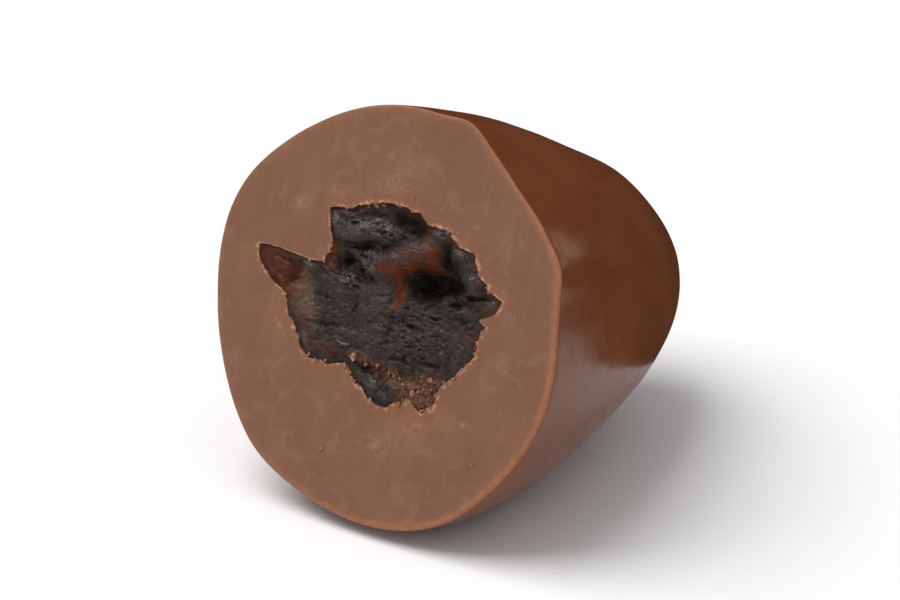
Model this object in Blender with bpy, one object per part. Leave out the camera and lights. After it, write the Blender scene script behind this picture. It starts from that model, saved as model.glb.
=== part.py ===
"""A chocolate covered raisin cut in half, at rest with its cut face forward and up.

The half is shaped in its own axes, in metres: X runs across the cut face, Z up it, and Y
into the sweet, from the middle of the cut. An empty carries both pieces. It tips them
nose down and stands them on a small flat spot, whose middle is the origin of the part.
"""

import math
from typing import NamedTuple

import bmesh
import bpy
from mathutils import Euler, Matrix, Vector, noise

MM = 0.001

# How the half lies
NOSE_DOWN = math.radians(20.3)
SPOT_DEPTH = 0.34 * MM

# Chocolate: a round cut, drawn out into a nose that leans up and to the right
CUT_RADIUS = 6.57 * MM
HALF_LENGTH = 12.9 * MM
NOSE_LEAN = Vector((1.0, 0.0, 1.55)) * MM
FLANK_POWER = 1.65
NOSE_POWER = 2.05
RIM_ROUND = 0.12 * MM
RIM_STEPS = 2

# Raisin: an oval with lobes and spikes, that tapers off inside the chocolate
RAISIN_MIDDLE = Vector((-0.6, 0.0, 0.3)) * MM
RAISIN_WIDE = 3.99 * MM
RAISIN_HIGH = 2.95 * MM
RAISIN_TURN = 20.0
RAISIN_DEPTH = 8.4 * MM
RAISIN_TAPER = 2.0
RAISIN_GAP = 0.1 * MM

# Its cut surface
WRINKLE_SIZE = 0.62 * MM
WRINKLE_DEPTH = 0.13 * MM
EDGE_POWER = 6

# How finely the pieces are divided
CHOCOLATE_SIDES = 80
CHOCOLATE_RINGS = 44
RAISIN_SIDES = 96
RAISIN_RINGS = 28

CHOCOLATE_COLOUR = (0.156, 0.058, 0.028, 1.0)
RAISIN_COLOUR = (0.022, 0.014, 0.011, 1.0)


class Bulge(NamedTuple):
    """A rise of an outline around one direction, in degrees and mm; a dip if negative."""

    angle: float
    reach: float
    spread: float


class Swell(NamedTuple):
    """A rise of the chocolate's side, at an angle round it and a latitude from the cut."""

    angle: float
    latitude: float
    reach: float
    spread: float


class Hollow(NamedTuple):
    """An oval hollow in the raisin's cut surface, in mm and degrees; a ridge if negative."""

    across: float
    up: float
    half_length: float
    half_width: float
    turn: float
    depth: float


CUT_BULGES = (
    Bulge(159, 0.42, 22),
    Bulge(77, 0.25, 7),
    Bulge(99, 0.26, 40),
    Bulge(28, 0.19, 7),
    Bulge(10, -0.19, 19),
    Bulge(54, -0.19, 12),
    Bulge(-69, 0.25, 26),
    Bulge(-126, 0.17, 16),
)

SIDE_SWELLS = (
    Swell(-57, 14, 0.13, 15),
    Swell(-45, 38, -0.11, 16),
    Swell(0, 57, 0.08, 15),
    Swell(74, 48, 0.07, 12),
    Swell(90, 18, 0.08, 10),
    Swell(86, 34, -0.07, 9),
)

RAISIN_LOBES = (
    Bulge(173, 1.78, 9),
    Bulge(159, -1.19, 19),
    Bulge(134, 0.57, 5),
    Bulge(101, 0.25, 27),
    Bulge(33, 0.13, 8),
    Bulge(15, 0.67, 9),
    Bulge(-13, 0.43, 15),
    Bulge(-44, 0.73, 14),
    Bulge(-73, 0.35, 11),
    Bulge(-109, -0.83, 22),
    Bulge(-152, -0.78, 25),
)

PIT = Hollow(1.35, 1.35, 1.1, 0.55, 14, 0.95)
NOTCH_VALLEY = Hollow(-1.8, 1.3, 0.95, 0.25, -24, 0.45)
FLESH_RIDGE = Hollow(0.3, 2.15, 1.3, 0.35, 30, -0.25)
TOP_LOBE = Hollow(-1.9, 2.4, 0.7, 0.55, 0, -0.3)
SPIKE_HOLLOW = Hollow(-3.5, 0.15, 0.6, 0.35, -40, 0.3)
CENTRE_LOBE = Hollow(-0.3, 0.1, 0.9, 0.7, 20, -0.15)
LOWER_LOBE = Hollow(1.3, -0.8, 1.5, 0.9, 10, -0.12)
FOOT_LOBE = Hollow(0.2, -2.3, 0.6, 0.35, 0, -0.15)
FOOT_VALLEY = Hollow(0.1, -1.75, 1.1, 0.2, 5, 0.35)
CUT_RELIEF = (
    PIT,
    NOTCH_VALLEY,
    FLESH_RIDGE,
    TOP_LOBE,
    SPIKE_HOLLOW,
    CENTRE_LOBE,
    LOWER_LOBE,
    FOOT_LOBE,
    FOOT_VALLEY,
)


def clear_scene():
    """Removes every object that the file starts with."""
    for item in list(bpy.data.objects):
        bpy.data.objects.remove(item, do_unlink=True)


def add_collection(name):
    """A new collection under the scene's own."""
    collection = bpy.data.collections.new(name)
    bpy.context.scene.collection.children.link(collection)
    return collection


def add_material(name, colour, roughness):
    """A Principled material of one colour."""
    material = bpy.data.materials.new(name)
    material.use_nodes = True
    shader = material.node_tree.nodes["Principled BSDF"]
    shader.inputs["Base Color"].default_value = colour
    shader.inputs["Roughness"].default_value = roughness
    shader.inputs["Metallic"].default_value = 0.0
    return material


def bell(distance, spread):
    """1 in the middle, falling smoothly to nothing a few spreads away."""
    return math.exp(-((distance / spread) ** 2))


def bulged(angle, bulges):
    """How far a set of bulges moves an outline at an angle in degrees."""
    reach = 0.0
    for bulge in bulges:
        turn = (angle - bulge.angle + 180.0) % 360.0 - 180.0
        reach += bulge.reach * MM * bell(turn, bulge.spread)
    return reach


def direction_at(angle, latitude):
    """The unit direction at an angle round the sweet and a latitude from its cut."""
    around = math.radians(angle)
    along = math.radians(latitude)
    return Vector((
        math.cos(along) * math.cos(around),
        math.sin(along),
        math.cos(along) * math.sin(around),
    ))


def swelled(direction):
    """How far the side swells in one direction."""
    reach = 0.0
    for swell in SIDE_SWELLS:
        middle = direction_at(swell.angle, swell.latitude)
        turn = math.degrees(direction.angle(middle))
        reach += swell.reach * MM * bell(turn, swell.spread)
    return reach


def chocolate_point(direction):
    """Where a point of the unit half ball lands on the chocolate's surface."""
    share = min(max(direction.y, 0.0), 1.0)
    around = math.atan2(direction.z, direction.x)
    bulge = bulged(math.degrees(around), CUT_BULGES) * (1.0 - share)
    radius = (CUT_RADIUS + bulge) * (1.0 - share ** FLANK_POWER) ** (1.0 / NOSE_POWER)
    point = Vector((
        radius * math.cos(around),
        HALF_LENGTH * share,
        radius * math.sin(around),
    ))
    return point + NOSE_LEAN * share ** 2 + direction * swelled(direction)


def raisin_radius(around, share):
    """The raisin's radius at an angle in radians, at a share of its depth."""
    turn = around - math.radians(RAISIN_TURN)
    oval = RAISIN_WIDE * RAISIN_HIGH / math.hypot(
        RAISIN_HIGH * math.cos(turn), RAISIN_WIDE * math.sin(turn))
    lobes = bulged(math.degrees(around), RAISIN_LOBES) * (1.0 - share) ** 2
    return (oval + lobes) * (1.0 - share ** RAISIN_TAPER) ** (1.0 / RAISIN_TAPER)


def cut_relief(across, up):
    """How deep the raisin's cut surface lies below the cut, in metres."""
    depth = 0.0
    for hollow in CUT_RELIEF:
        turn = math.radians(hollow.turn)
        right = across / MM - hollow.across
        rise = up / MM - hollow.up
        length = (right * math.cos(turn) + rise * math.sin(turn)) / hollow.half_length
        width = (rise * math.cos(turn) - right * math.sin(turn)) / hollow.half_width
        depth += hollow.depth * MM * bell(math.hypot(length, width), 1.0)
    spot = Vector((across, 0.0, up)) / WRINKLE_SIZE
    return depth + WRINKLE_DEPTH * noise.noise(spot)


def raisin_point(direction, mouth):
    """Where a point of the unit ball lands on the raisin, or on the pocket's cutter.

    The ball's back half becomes the part inside the chocolate. Its front half is pressed
    onto the cut: with its relief for the raisin, and as a plain plug that stands out by
    mouth for the cutter.
    """
    share = max(direction.y, 0.0)
    around = math.atan2(direction.z, direction.x)
    radius = raisin_radius(around, share)
    depth = RAISIN_DEPTH * share
    if direction.y < 0.0:
        reach = math.acos(min(-direction.y, 1.0)) / math.radians(90.0)
        radius *= reach
        depth = -mouth
    across = radius * math.cos(around)
    up = radius * math.sin(around)
    if direction.y < 0.0 and mouth == 0.0:
        middle = RAISIN_MIDDLE
        depth = cut_relief(across + middle.x, up + middle.z) * (1.0 - reach ** EDGE_POWER)
    lean = NOSE_LEAN * (depth / HALF_LENGTH) ** 2
    return Vector((across, depth, up)) + RAISIN_MIDDLE + lean


def unit_ball(sides, rings):
    """A unit ball whose poles lie along Y and whose equator is the cut."""
    ball = bmesh.new()
    bmesh.ops.create_uvsphere(
        ball,
        u_segments=sides,
        v_segments=rings,
        radius=1.0,
        matrix=Matrix.Rotation(math.radians(-90.0), 4, "X"),
    )
    for vertex in ball.verts:
        if abs(vertex.co.y) < 1e-6:
            vertex.co.y = 0.0
    return ball


def cut_away(mesh, point, outward):
    """Cuts off what lies outward of a plane and closes the cut; returns its new edges."""
    everything = mesh.verts[:] + mesh.edges[:] + mesh.faces[:]
    bmesh.ops.bisect_plane(
        mesh, geom=everything, dist=1e-9, plane_co=point, plane_no=outward, clear_outer=True)
    edges = [edge for edge in mesh.edges if edge.is_boundary]
    bmesh.ops.contextual_create(mesh, geom=edges)
    return edges


def spot_middle(mesh, down):
    """The middle of the flat spot, the face that looks straight down."""
    mesh.normal_update()
    spot = max(mesh.faces, key=lambda face: face.normal.dot(down) * face.calc_area())
    return spot.calc_center_median_weighted()


def chocolate_mesh(down):
    """The half without its pocket, and the middle of the flat spot that it lies on."""
    half = unit_ball(CHOCOLATE_SIDES, CHOCOLATE_RINGS)
    rim = cut_away(half, Vector((0.0, 0.0, 0.0)), Vector((0.0, -1.0, 0.0)))
    for vertex in half.verts:
        vertex.co = chocolate_point(vertex.co.normalized())
    bmesh.ops.bevel(
        half, geom=rim, offset=RIM_ROUND, segments=RIM_STEPS, profile=0.5, affect="EDGES")
    lowest = max(vertex.co.dot(down) for vertex in half.verts)
    cut_away(half, down * (lowest - SPOT_DEPTH), down)
    bmesh.ops.recalc_face_normals(half, faces=half.faces)
    return half, spot_middle(half, down)


def raisin_mesh(mouth=0.0, gap=0.0):
    """The raisin, or the cutter of its pocket: grown by gap, with a plug of mouth."""
    raisin = unit_ball(RAISIN_SIDES, RAISIN_RINGS)
    for vertex in raisin.verts:
        vertex.co = raisin_point(vertex.co.normalized(), mouth)
    bmesh.ops.recalc_face_normals(raisin, faces=raisin.faces)
    raisin.normal_update()
    grown = [vertex.co + vertex.normal * gap for vertex in raisin.verts]
    for vertex, point in zip(raisin.verts, grown):
        vertex.co = point
    return raisin


def add_piece(name, shape, collection, carrier, material=None):
    """Turns a bmesh into a named object that the carrier holds."""
    mesh = bpy.data.meshes.new(name)
    shape.to_mesh(mesh)
    shape.free()
    mesh.shade_smooth()
    mesh.set_sharp_from_angle(angle=math.radians(40.0))
    if material is not None:
        mesh.materials.append(material)
    piece = bpy.data.objects.new(name, mesh)
    collection.objects.link(piece)
    piece.parent = carrier
    return piece


def cut_pocket(chocolate, cutter):
    """Opens the raisin's pocket in the chocolate."""
    cutter.hide_render = True
    cutter.display_type = "WIRE"
    pocket = chocolate.modifiers.new("pocket", "BOOLEAN")
    pocket.operation = "DIFFERENCE"
    pocket.solver = "EXACT"
    pocket.object = cutter


def main():
    """Builds the half, its raisin and the empty that holds them."""
    clear_scene()
    parts = add_collection("chocolate_covered_raisin")
    cutters = add_collection("cutters")
    carrier = bpy.data.objects.new("carrier", None)
    parts.objects.link(carrier)

    lying = Euler((-NOSE_DOWN, 0.0, 0.0)).to_matrix()
    down = lying.transposed() @ Vector((0.0, 0.0, -1.0))
    shape, spot = chocolate_mesh(down)
    carrier.rotation_euler = (-NOSE_DOWN, 0.0, 0.0)
    carrier.location = -(lying @ spot)

    chocolate = add_piece(
        "chocolate", shape, parts, carrier, add_material("chocolate", CHOCOLATE_COLOUR, 0.3))
    add_piece(
        "raisin", raisin_mesh(), parts, carrier, add_material("raisin", RAISIN_COLOUR, 0.35))
    cutter = add_piece(
        "pocket_cutter", raisin_mesh(1.0 * MM, RAISIN_GAP), cutters, carrier)
    cut_pocket(chocolate, cutter)


main()
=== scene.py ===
"""Looks of a chocolate covered raisin, cut in half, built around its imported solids.

Three pieces make the sweet that shows: the chocolate half, the raisin at its cut, and
the crumbs that the knife left. Each is shaped in the sweet's own axes, in mm: X across
the cut, Z up it and Y into the sweet. SweetAxes then sets it in the row frame.
"""

import logging
import math
import random
from dataclasses import dataclass
from enum import Enum

import bmesh
import bpy
import numpy as np
from mathutils import Euler, Matrix, Vector, noise


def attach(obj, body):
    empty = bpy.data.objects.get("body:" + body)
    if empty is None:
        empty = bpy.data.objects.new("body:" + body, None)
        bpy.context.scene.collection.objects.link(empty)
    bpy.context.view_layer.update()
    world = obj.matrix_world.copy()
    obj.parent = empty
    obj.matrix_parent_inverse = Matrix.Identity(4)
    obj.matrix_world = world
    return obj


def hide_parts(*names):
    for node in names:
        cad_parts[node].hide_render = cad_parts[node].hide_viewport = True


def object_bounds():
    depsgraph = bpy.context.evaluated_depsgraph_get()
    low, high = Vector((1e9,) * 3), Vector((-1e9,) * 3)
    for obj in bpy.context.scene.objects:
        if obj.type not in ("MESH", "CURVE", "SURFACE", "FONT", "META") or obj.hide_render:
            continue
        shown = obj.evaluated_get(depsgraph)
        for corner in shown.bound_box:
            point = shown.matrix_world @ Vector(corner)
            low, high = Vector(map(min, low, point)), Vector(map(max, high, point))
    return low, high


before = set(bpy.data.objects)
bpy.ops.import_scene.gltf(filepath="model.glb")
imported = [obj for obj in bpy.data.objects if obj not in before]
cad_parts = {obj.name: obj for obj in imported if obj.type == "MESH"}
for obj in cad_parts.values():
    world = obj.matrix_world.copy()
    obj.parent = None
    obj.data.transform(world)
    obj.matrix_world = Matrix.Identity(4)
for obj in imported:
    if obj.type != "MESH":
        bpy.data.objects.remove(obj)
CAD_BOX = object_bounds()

LOG = logging.getLogger("raisin")
MM = 0.001
TAU = 2.0 * math.pi
QUARTER = math.radians(90.0)
GLOW_DEPTH = 0.3 * MM
Colour = tuple[float, float, float]


class Tone(Enum):
    """A mask on the raisin or the chocolate, stored as a mesh attribute."""

    FLESH = "flesh"
    # Orange-red flesh, painted bright as a glow of light through its thin edges.
    EMBER_GLOW = "ember_glow"
    MAROON = "maroon"
    OLIVE = "olive"
    CRUMBLY = "crumbly"
    # Blue-grey skin, and a painted sheen on the raisin's top lobe, valley and foot.
    SLATE_AND_SHEEN = "slate_and_sheen"
    DUSK = "dusk"
    WET = "wet"
    # Painted shade in the raisin's pit, hollows, pores and creases, partly over its own black.
    DEEP_SHADE = "deep"
    # The rim's warm line: partly its own orange-brown, partly painted highlight.
    RIM_AND_HIGHLIGHT = "rim"
    LIP = "lip"
    BLOT = "blot"


class Gloss(Enum):
    """How a face of the raisin shines, by the place of its finish among the slots."""

    SKIN = 0
    # The shade and hollow finishes reflect less: painted shade in the raisin's creases and hollows,
    # and duller red flesh.
    SHADE = 1
    HOLLOW_SHADE = 2
    WET = 3


@dataclass(frozen=True)
class Bulge:
    """A rise of an outline around one direction; a dip if its reach is negative.

    Args:
        angle: Its middle, in degrees from across towards up.
        reach: How far it stands out, in mm.
        spread: Its half width, in degrees.
    """

    angle: float
    reach: float
    spread: float


@dataclass(frozen=True)
class Swell:
    """A rise of the chocolate's side.

    Args:
        angle: Where it lies round the sweet, in degrees.
        latitude: Where it lies between the cut, 0, and the nose, 90.
        reach: How far it stands out, in mm.
        spread: Its half width, in degrees.
    """

    angle: float
    latitude: float
    reach: float
    spread: float


@dataclass(frozen=True)
class Patch:
    """An oval on the cut plane, for a hollow, a ridge or a tone.

    Args:
        across: Its middle's place across the cut, in mm.
        up: Its middle's place up the cut, in mm.
        half_length: Half its length, in mm.
        half_width: Half its width, in mm.
        turn: How far its length is turned from across towards up, in degrees.
        depth: How deep it goes in mm, or how strong a tone is; a ridge if negative.
    """

    across: float
    up: float
    half_length: float
    half_width: float
    turn: float
    depth: float

    def share(self, across: np.ndarray, up: np.ndarray, power: float = 2.0) -> np.ndarray:
        """How far points are inside the oval.

        Args:
            across: Places across the cut, in mm.
            up: Places up the cut, in mm.
            power: 2 for a soft bell, more for a flatter middle and a steeper edge.

        Returns:
            1 in the middle, falling to 0 outside.
        """
        turn = math.radians(self.turn)
        right = across - self.across
        rise = up - self.up
        along = (right * math.cos(turn) + rise * math.sin(turn)) / self.half_length
        aside = (rise * math.cos(turn) - right * math.sin(turn)) / self.half_width
        return np.exp(-np.hypot(along, aside) ** power)

    def spot(self, draw: random.Random) -> tuple[float, float]:
        """Draws a place inside the oval.

        Args:
            draw: Where the random numbers come from.

        Returns:
            The place across and up the cut, in mm.
        """
        angle, reach = draw.uniform(0.0, TAU), math.sqrt(draw.random())
        turn = math.radians(self.turn)
        along = self.half_length * reach * math.cos(angle)
        aside = self.half_width * reach * math.sin(angle)
        across = self.across + along * math.cos(turn) - aside * math.sin(turn)
        up = self.up + along * math.sin(turn) + aside * math.cos(turn)
        return across, up


@dataclass(frozen=True)
class Ripple:
    """Noise that makes a surface uneven.

    Args:
        reach: How far it stands out, in mm.
        size: How far apart its hills are, in mm.
        seed: A shift, so that two of them differ.
        squeeze: A scale up the cut, under 1 where its hills are drawn out.
    """

    reach: float
    size: float
    seed: float
    squeeze: float = 1.0

    def height(self, points: np.ndarray) -> np.ndarray:
        """Its height at points in mm, in mm."""
        return self.reach * rough(points * np.array([1.0, 1.0, self.squeeze]), self.size, self.seed)


@dataclass(frozen=True)
class Stray:
    """Noise that moves points within the cut's plane, so that no oval keeps a plain edge.

    Args:
        reach: How far it moves them, in mm.
        size: How far apart its hills are, in mm.
        seeds: A shift for each of the two directions.
    """

    reach: float
    size: float
    seeds: tuple[float, float]

    def move(self, points: np.ndarray) -> np.ndarray:
        """How far it moves points.

        Args:
            points: Points of any array shape, with three numbers each, in mm.

        Returns:
            Each point's move, in mm.
        """
        across, up = (rough(points, self.size, seed) for seed in self.seeds)
        return self.reach * np.stack([across, 0.0 * across, up], axis=-1)


def spokes(angle: np.ndarray) -> np.ndarray:
    """Unit vectors in the cut's plane, at angles in radians from across towards up."""
    return np.stack([np.cos(angle), 0.0 * angle, np.sin(angle)], axis=-1)


def bulged(angle: np.ndarray, bulges: tuple[Bulge, ...]) -> np.ndarray:
    """How far a set of bulges moves an outline.

    Args:
        angle: Angles round the outline, in radians.
        bulges: The bulges and dips.

    Returns:
        The outline's move at each angle, in mm.
    """
    reach = np.zeros_like(angle)
    for bulge in bulges:
        turn = (np.degrees(angle) - bulge.angle + 180.0) % 360.0 - 180.0
        reach += bulge.reach * np.exp(-((turn / bulge.spread) ** 2))
    return reach


def rough(points: np.ndarray, size: float, seed: float = 0.0) -> np.ndarray:
    """Smooth noise on points.

    Args:
        points: Points of any array shape, with three numbers each, in mm.
        size: How far apart its hills are, in mm.
        seed: A shift, so that two calls differ.

    Returns:
        About -1 to 1 for each point.
    """
    flat = points.reshape(-1, 3) / size + seed
    values = [noise.noise(Vector(point)) for point in flat]
    return np.array(values).reshape(points.shape[:-1])


def creased(points: np.ndarray, size: float, octaves: int, seed: float = 0.0) -> np.ndarray:
    """Ridged noise on points, with sharp creases between round folds.

    Args:
        points: Points of any array shape, with three numbers each, in mm.
        size: How far apart its largest folds are, in mm.
        octaves: How many finer layers it has.
        seed: A shift, so that two calls differ.

    Returns:
        About 0 in a crease to 1 on a fold, for each point.
    """
    steepness = 2.4
    total = np.zeros(points.shape[:-1])
    weight = 0.0
    for octave in range(octaves):
        fine = 2.0 ** octave
        slope = np.abs(rough(points, size / fine, seed + octave)) * steepness
        total += np.minimum(slope, 1.0) / fine
        weight += 1.0 / fine
    return total / weight


def set_tone(mesh: bpy.types.Mesh, tone: Tone, values: np.ndarray) -> None:
    """Stores a tone's mask on a mesh, one value for each vertex.

    Args:
        mesh: The mesh.
        tone: Which tone it is.
        values: Its strength, 0 to 1.
    """
    layer = mesh.attributes.new(tone.value, "FLOAT", "POINT")
    layer.data.foreach_set("value", np.clip(values, 0.0, 1.0).astype(np.float32))


def loft(name: str, rings: np.ndarray, start: np.ndarray, end: np.ndarray) -> bpy.types.Mesh:
    """A closed mesh through rings of equal numbers of points, with a pole at each end.

    Args:
        name: The mesh's name.
        rings: Points in metres, as rings by sides by three.
        start: The pole before the first ring.
        end: The pole after the last ring.

    Returns:
        The mesh, smooth, with its start pole last but one and its end pole last.
    """
    count, sides = rings.shape[:2]
    index = np.arange(count * sides).reshape(count, sides)
    ahead = np.roll(index, -1, axis=1)
    quads = np.stack([index[:-1], ahead[:-1], ahead[1:], index[1:]], axis=-1).reshape(-1, 4)
    first, last = count * sides, count * sides + 1
    fans = [(first, b, a) for a, b in zip(index[0], ahead[0])]
    fans += [(last, a, b) for a, b in zip(index[-1], ahead[-1])]
    mesh = bpy.data.meshes.new(name)
    points = np.vstack([rings.reshape(-1, 3), start, end])
    mesh.from_pydata(points.tolist(), [], quads.tolist() + fans)
    mesh.shade_smooth()
    return mesh


def close_outward(mesh: bpy.types.Mesh) -> None:
    """Turns every face of a closed mesh outward.

    Args:
        mesh: The mesh.
    """
    shape = bmesh.new()
    shape.from_mesh(mesh)
    bmesh.ops.recalc_face_normals(shape, faces=shape.faces)
    shape.to_mesh(mesh)
    shape.free()


def into_scene(name: str, data: bpy.types.ID) -> bpy.types.Object:
    """Adds an object to the scene.

    Args:
        name: Its name.
        data: Its mesh, light or camera.

    Returns:
        The new object.
    """
    added = bpy.data.objects.new(name, data)
    bpy.context.scene.collection.objects.link(added)
    return added


def add_piece(name: str, mesh: bpy.types.Mesh) -> bpy.types.Object:
    """Puts a mesh in the scene as a piece of the sweet.

    Args:
        name: The piece's name.
        mesh: Its mesh, in the row frame.

    Returns:
        The new object.
    """
    piece = into_scene(name, mesh)
    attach(piece, "root")
    LOG.info("%s: %d vertices", name, len(mesh.vertices))
    return piece


@dataclass(frozen=True)
class SweetAxes:
    """Where the sweet's own axes lie in the row frame.

    Args:
        nose_down: How far the nose is tipped below the cut, in degrees.
        middle: The cut's middle in the row frame, in mm.
    """

    nose_down: float = 20.3
    middle: tuple[float, float, float] = (-0.391, -2.8823, 6.7428)

    def matrix(self) -> Matrix:
        """Turns and moves a point in mm from the sweet's axes to the row frame."""
        turn = Euler((-math.radians(self.nose_down), 0.0, 0.0)).to_matrix().to_4x4()
        return Matrix.Translation(Vector(self.middle)) @ turn

    def place(self, points: np.ndarray) -> np.ndarray:
        """Sets points in the row frame, none of them under the rest surface.

        Args:
            points: Points in the sweet's axes, in mm.

        Returns:
            The same points in the row frame, in metres.
        """
        matrix = np.array(self.matrix())
        placed = points @ matrix[:3, :3].T + matrix[:3, 3]
        placed[..., 2] = np.maximum(placed[..., 2], 0.0)
        return placed * MM


class NodeMaterial:
    """A material put together from nodes, around one Principled shader."""

    def __init__(self, name: str) -> None:
        """Starts a material with its Principled shader alone.

        Args:
            name: The material's name.
        """
        self.material = bpy.data.materials.new(name)
        self.material.use_nodes = True
        self.tree = self.material.node_tree
        self.shader = self.tree.nodes["Principled BSDF"]
        self.place = self.node("ShaderNodeTexCoord").outputs["Object"]

    def node(self, kind: str, **settings: object) -> bpy.types.Node:
        """Adds a node.

        Args:
            kind: Its type name.
            **settings: Values for its properties.

        Returns:
            The node.
        """
        node = self.tree.nodes.new(kind)
        for key, value in settings.items():
            setattr(node, key, value)
        return node

    def link(self, source: bpy.types.NodeSocket, target: bpy.types.NodeSocket) -> None:
        """Joins an output to an input."""
        self.tree.links.new(source, target)

    def constant(self, socket: str, value: object) -> None:
        """Sets one of the shader's own values."""
        self.shader.inputs[socket].default_value = value

    def feed(self, socket: str, source: bpy.types.NodeSocket) -> None:
        """Drives one of the shader's own values from a node."""
        self.link(source, self.shader.inputs[socket])

    def soften(self, weight: float, spread: tuple[float, float, float]) -> None:
        """Lets a little light sink in, as it does in chocolate.

        Args:
            weight: How much of the light sinks in.
            spread: How far red, green and blue travel, as shares of the glow's depth.
        """
        self.constant("Subsurface Weight", weight)
        self.constant("Subsurface Radius", spread)
        self.constant("Subsurface Scale", GLOW_DEPTH)

    def tone(self, tone: Tone) -> bpy.types.NodeSocket:
        """The stored mask of a tone."""
        return self.node("ShaderNodeAttribute", attribute_name=tone.value).outputs["Fac"]

    def mapped(
        self, turn: float, stretch: tuple[float, float, float]
    ) -> bpy.types.NodeSocket:
        """The place on the piece, in axes that lie along the cut.

        Args:
            turn: How far the axes are turned within the cut, in degrees.
            stretch: A scale for each axis.

        Returns:
            The turned and scaled place.
        """
        lean = self.node("ShaderNodeMapping", vector_type="POINT")
        lean.inputs["Rotation"].default_value = (math.radians(SweetAxes().nose_down), 0.0, 0.0)
        self.link(self.place, lean.inputs["Vector"])
        spun = self.node("ShaderNodeMapping", vector_type="POINT")
        spun.inputs["Rotation"].default_value = (0.0, math.radians(turn), 0.0)
        spun.inputs["Scale"].default_value = stretch
        self.link(lean.outputs["Vector"], spun.inputs["Vector"])
        return spun.outputs["Vector"]

    def grain(
        self,
        size: float,
        detail: float = 3.0,
        place: bpy.types.NodeSocket | None = None,
        distortion: float = 0.0,
    ) -> bpy.types.NodeSocket:
        """Noise all over the piece.

        Args:
            size: How far apart its hills are, in mm.
            detail: How many finer layers it has.
            place: Where it is read, or None for the piece's own place.
            distortion: How much it is twisted.

        Returns:
            A value of about 0.3 to 0.7.
        """
        node = self.node("ShaderNodeTexNoise")
        node.inputs["Scale"].default_value = 1.0 / (size * MM)
        node.inputs["Detail"].default_value = detail
        node.inputs["Distortion"].default_value = distortion
        self.link(place or self.place, node.inputs["Vector"])
        return node.outputs["Fac"]

    def ranged(
        self, value: bpy.types.NodeSocket, low: float, high: float, to_low: float, to_high: float
    ) -> bpy.types.NodeSocket:
        """Maps a value from one range to another and keeps it there.

        Args:
            value: The value.
            low: Where the old range starts.
            high: Where the old range ends.
            to_low: Where the new range starts.
            to_high: Where the new range ends.

        Returns:
            The mapped value.
        """
        node = self.node("ShaderNodeMapRange", interpolation_type="SMOOTHSTEP")
        self.link(value, node.inputs["Value"])
        node.inputs["From Min"].default_value = low
        node.inputs["From Max"].default_value = high
        node.inputs["To Min"].default_value = to_low
        node.inputs["To Max"].default_value = to_high
        return node.outputs["Result"]

    def product(
        self, first: bpy.types.NodeSocket, second: bpy.types.NodeSocket
    ) -> bpy.types.NodeSocket:
        """Multiplies two values.

        Args:
            first: One value.
            second: The other.

        Returns:
            Their product.
        """
        node = self.node("ShaderNodeMath", operation="MULTIPLY")
        self.link(first, node.inputs[0])
        self.link(second, node.inputs[1])
        return node.outputs["Value"]

    def broken(
        self,
        mask: bpy.types.NodeSocket,
        noise_value: bpy.types.NodeSocket,
        low: float,
        high: float,
        least: float,
    ) -> bpy.types.NodeSocket:
        """Breaks up a mask with noise.

        Args:
            mask: The mask.
            noise_value: The noise.
            low: The noise at which the mask is weakest.
            high: The noise at which it shows in full.
            least: The share of it that always shows.

        Returns:
            The broken mask.
        """
        return self.product(mask, self.ranged(noise_value, low, high, least, 1.0))

    def blend(
        self,
        share: bpy.types.NodeSocket,
        below: bpy.types.NodeSocket | Colour,
        above: bpy.types.NodeSocket | Colour,
    ) -> bpy.types.NodeSocket:
        """Mixes two colours.

        Args:
            share: How much of the second shows.
            below: The first colour, fixed or from a node.
            above: The second colour, fixed or from a node.

        Returns:
            The mixed colour.
        """
        node = self.node("ShaderNodeMix", data_type="RGBA")
        self.link(share, node.inputs["Factor"])
        for name, colour in (("A", below), ("B", above)):
            socket = next(s for s in node.inputs if s.name == name and s.type == "RGBA")
            if isinstance(colour, tuple):
                socket.default_value = (*colour, 1.0)
            else:
                self.link(colour, socket)
        return next(s for s in node.outputs if s.type == "RGBA")

    def raise_by(self, *layers: tuple[bpy.types.NodeSocket, float]) -> None:
        """Gives the surface fine relief.

        Args:
            *layers: Pairs of a height from 0 to 1 and what it stands for, in mm.
        """
        below = None
        for height, reach in layers:
            node = self.node("ShaderNodeBump")
            node.inputs["Strength"].default_value = 1.0
            node.inputs["Distance"].default_value = reach * MM
            self.link(height, node.inputs["Height"])
            if below is not None:
                self.link(below, node.inputs["Normal"])
            below = node.outputs["Normal"]
        self.link(below, self.shader.inputs["Normal"])


@dataclass(frozen=True)
class SideFinish:
    """The coating's outside: smooth milk chocolate with a satin gloss.

    Args:
        deep: The darker brown.
        warm: The lighter, redder brown.
        roughness: The gloss, from its clearest to its dullest.
        refraction: Its index of refraction.
        ripples: Its faint bumps: how far apart they are and how high, in mm.
    """

    deep: Colour = (0.158, 0.0455, 0.0160)
    warm: Colour = (0.186, 0.0555, 0.0200)
    roughness: tuple[float, float] = (0.17, 0.26)
    refraction: float = 1.43
    ripples: tuple[tuple[float, float], ...] = ((1.3, 0.005), (0.20, 0.0004))

    def material(self) -> bpy.types.Material:
        """Builds the material.

        Returns:
            The material.
        """
        look = NodeMaterial("chocolate_side")
        cloud = look.grain(2.4, 3.0, distortion=0.6)
        mottle = look.grain(0.30, 4.0)
        colour = look.blend(look.ranged(cloud, 0.35, 0.65, 0.0, 1.0), self.deep, self.warm)
        colour = look.blend(look.ranged(mottle, 0.45, 0.72, 0.0, 0.25), colour, self.warm)
        look.feed("Base Color", colour)
        look.feed("Roughness", look.ranged(look.grain(0.5, 4.0), 0.35, 0.68, *self.roughness))
        look.constant("IOR", self.refraction)
        look.soften(0.1, (1.0, 0.4, 0.2))
        look.raise_by(*[(look.grain(size, 2.0), height) for size, height in self.ripples])
        return look.material


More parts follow.
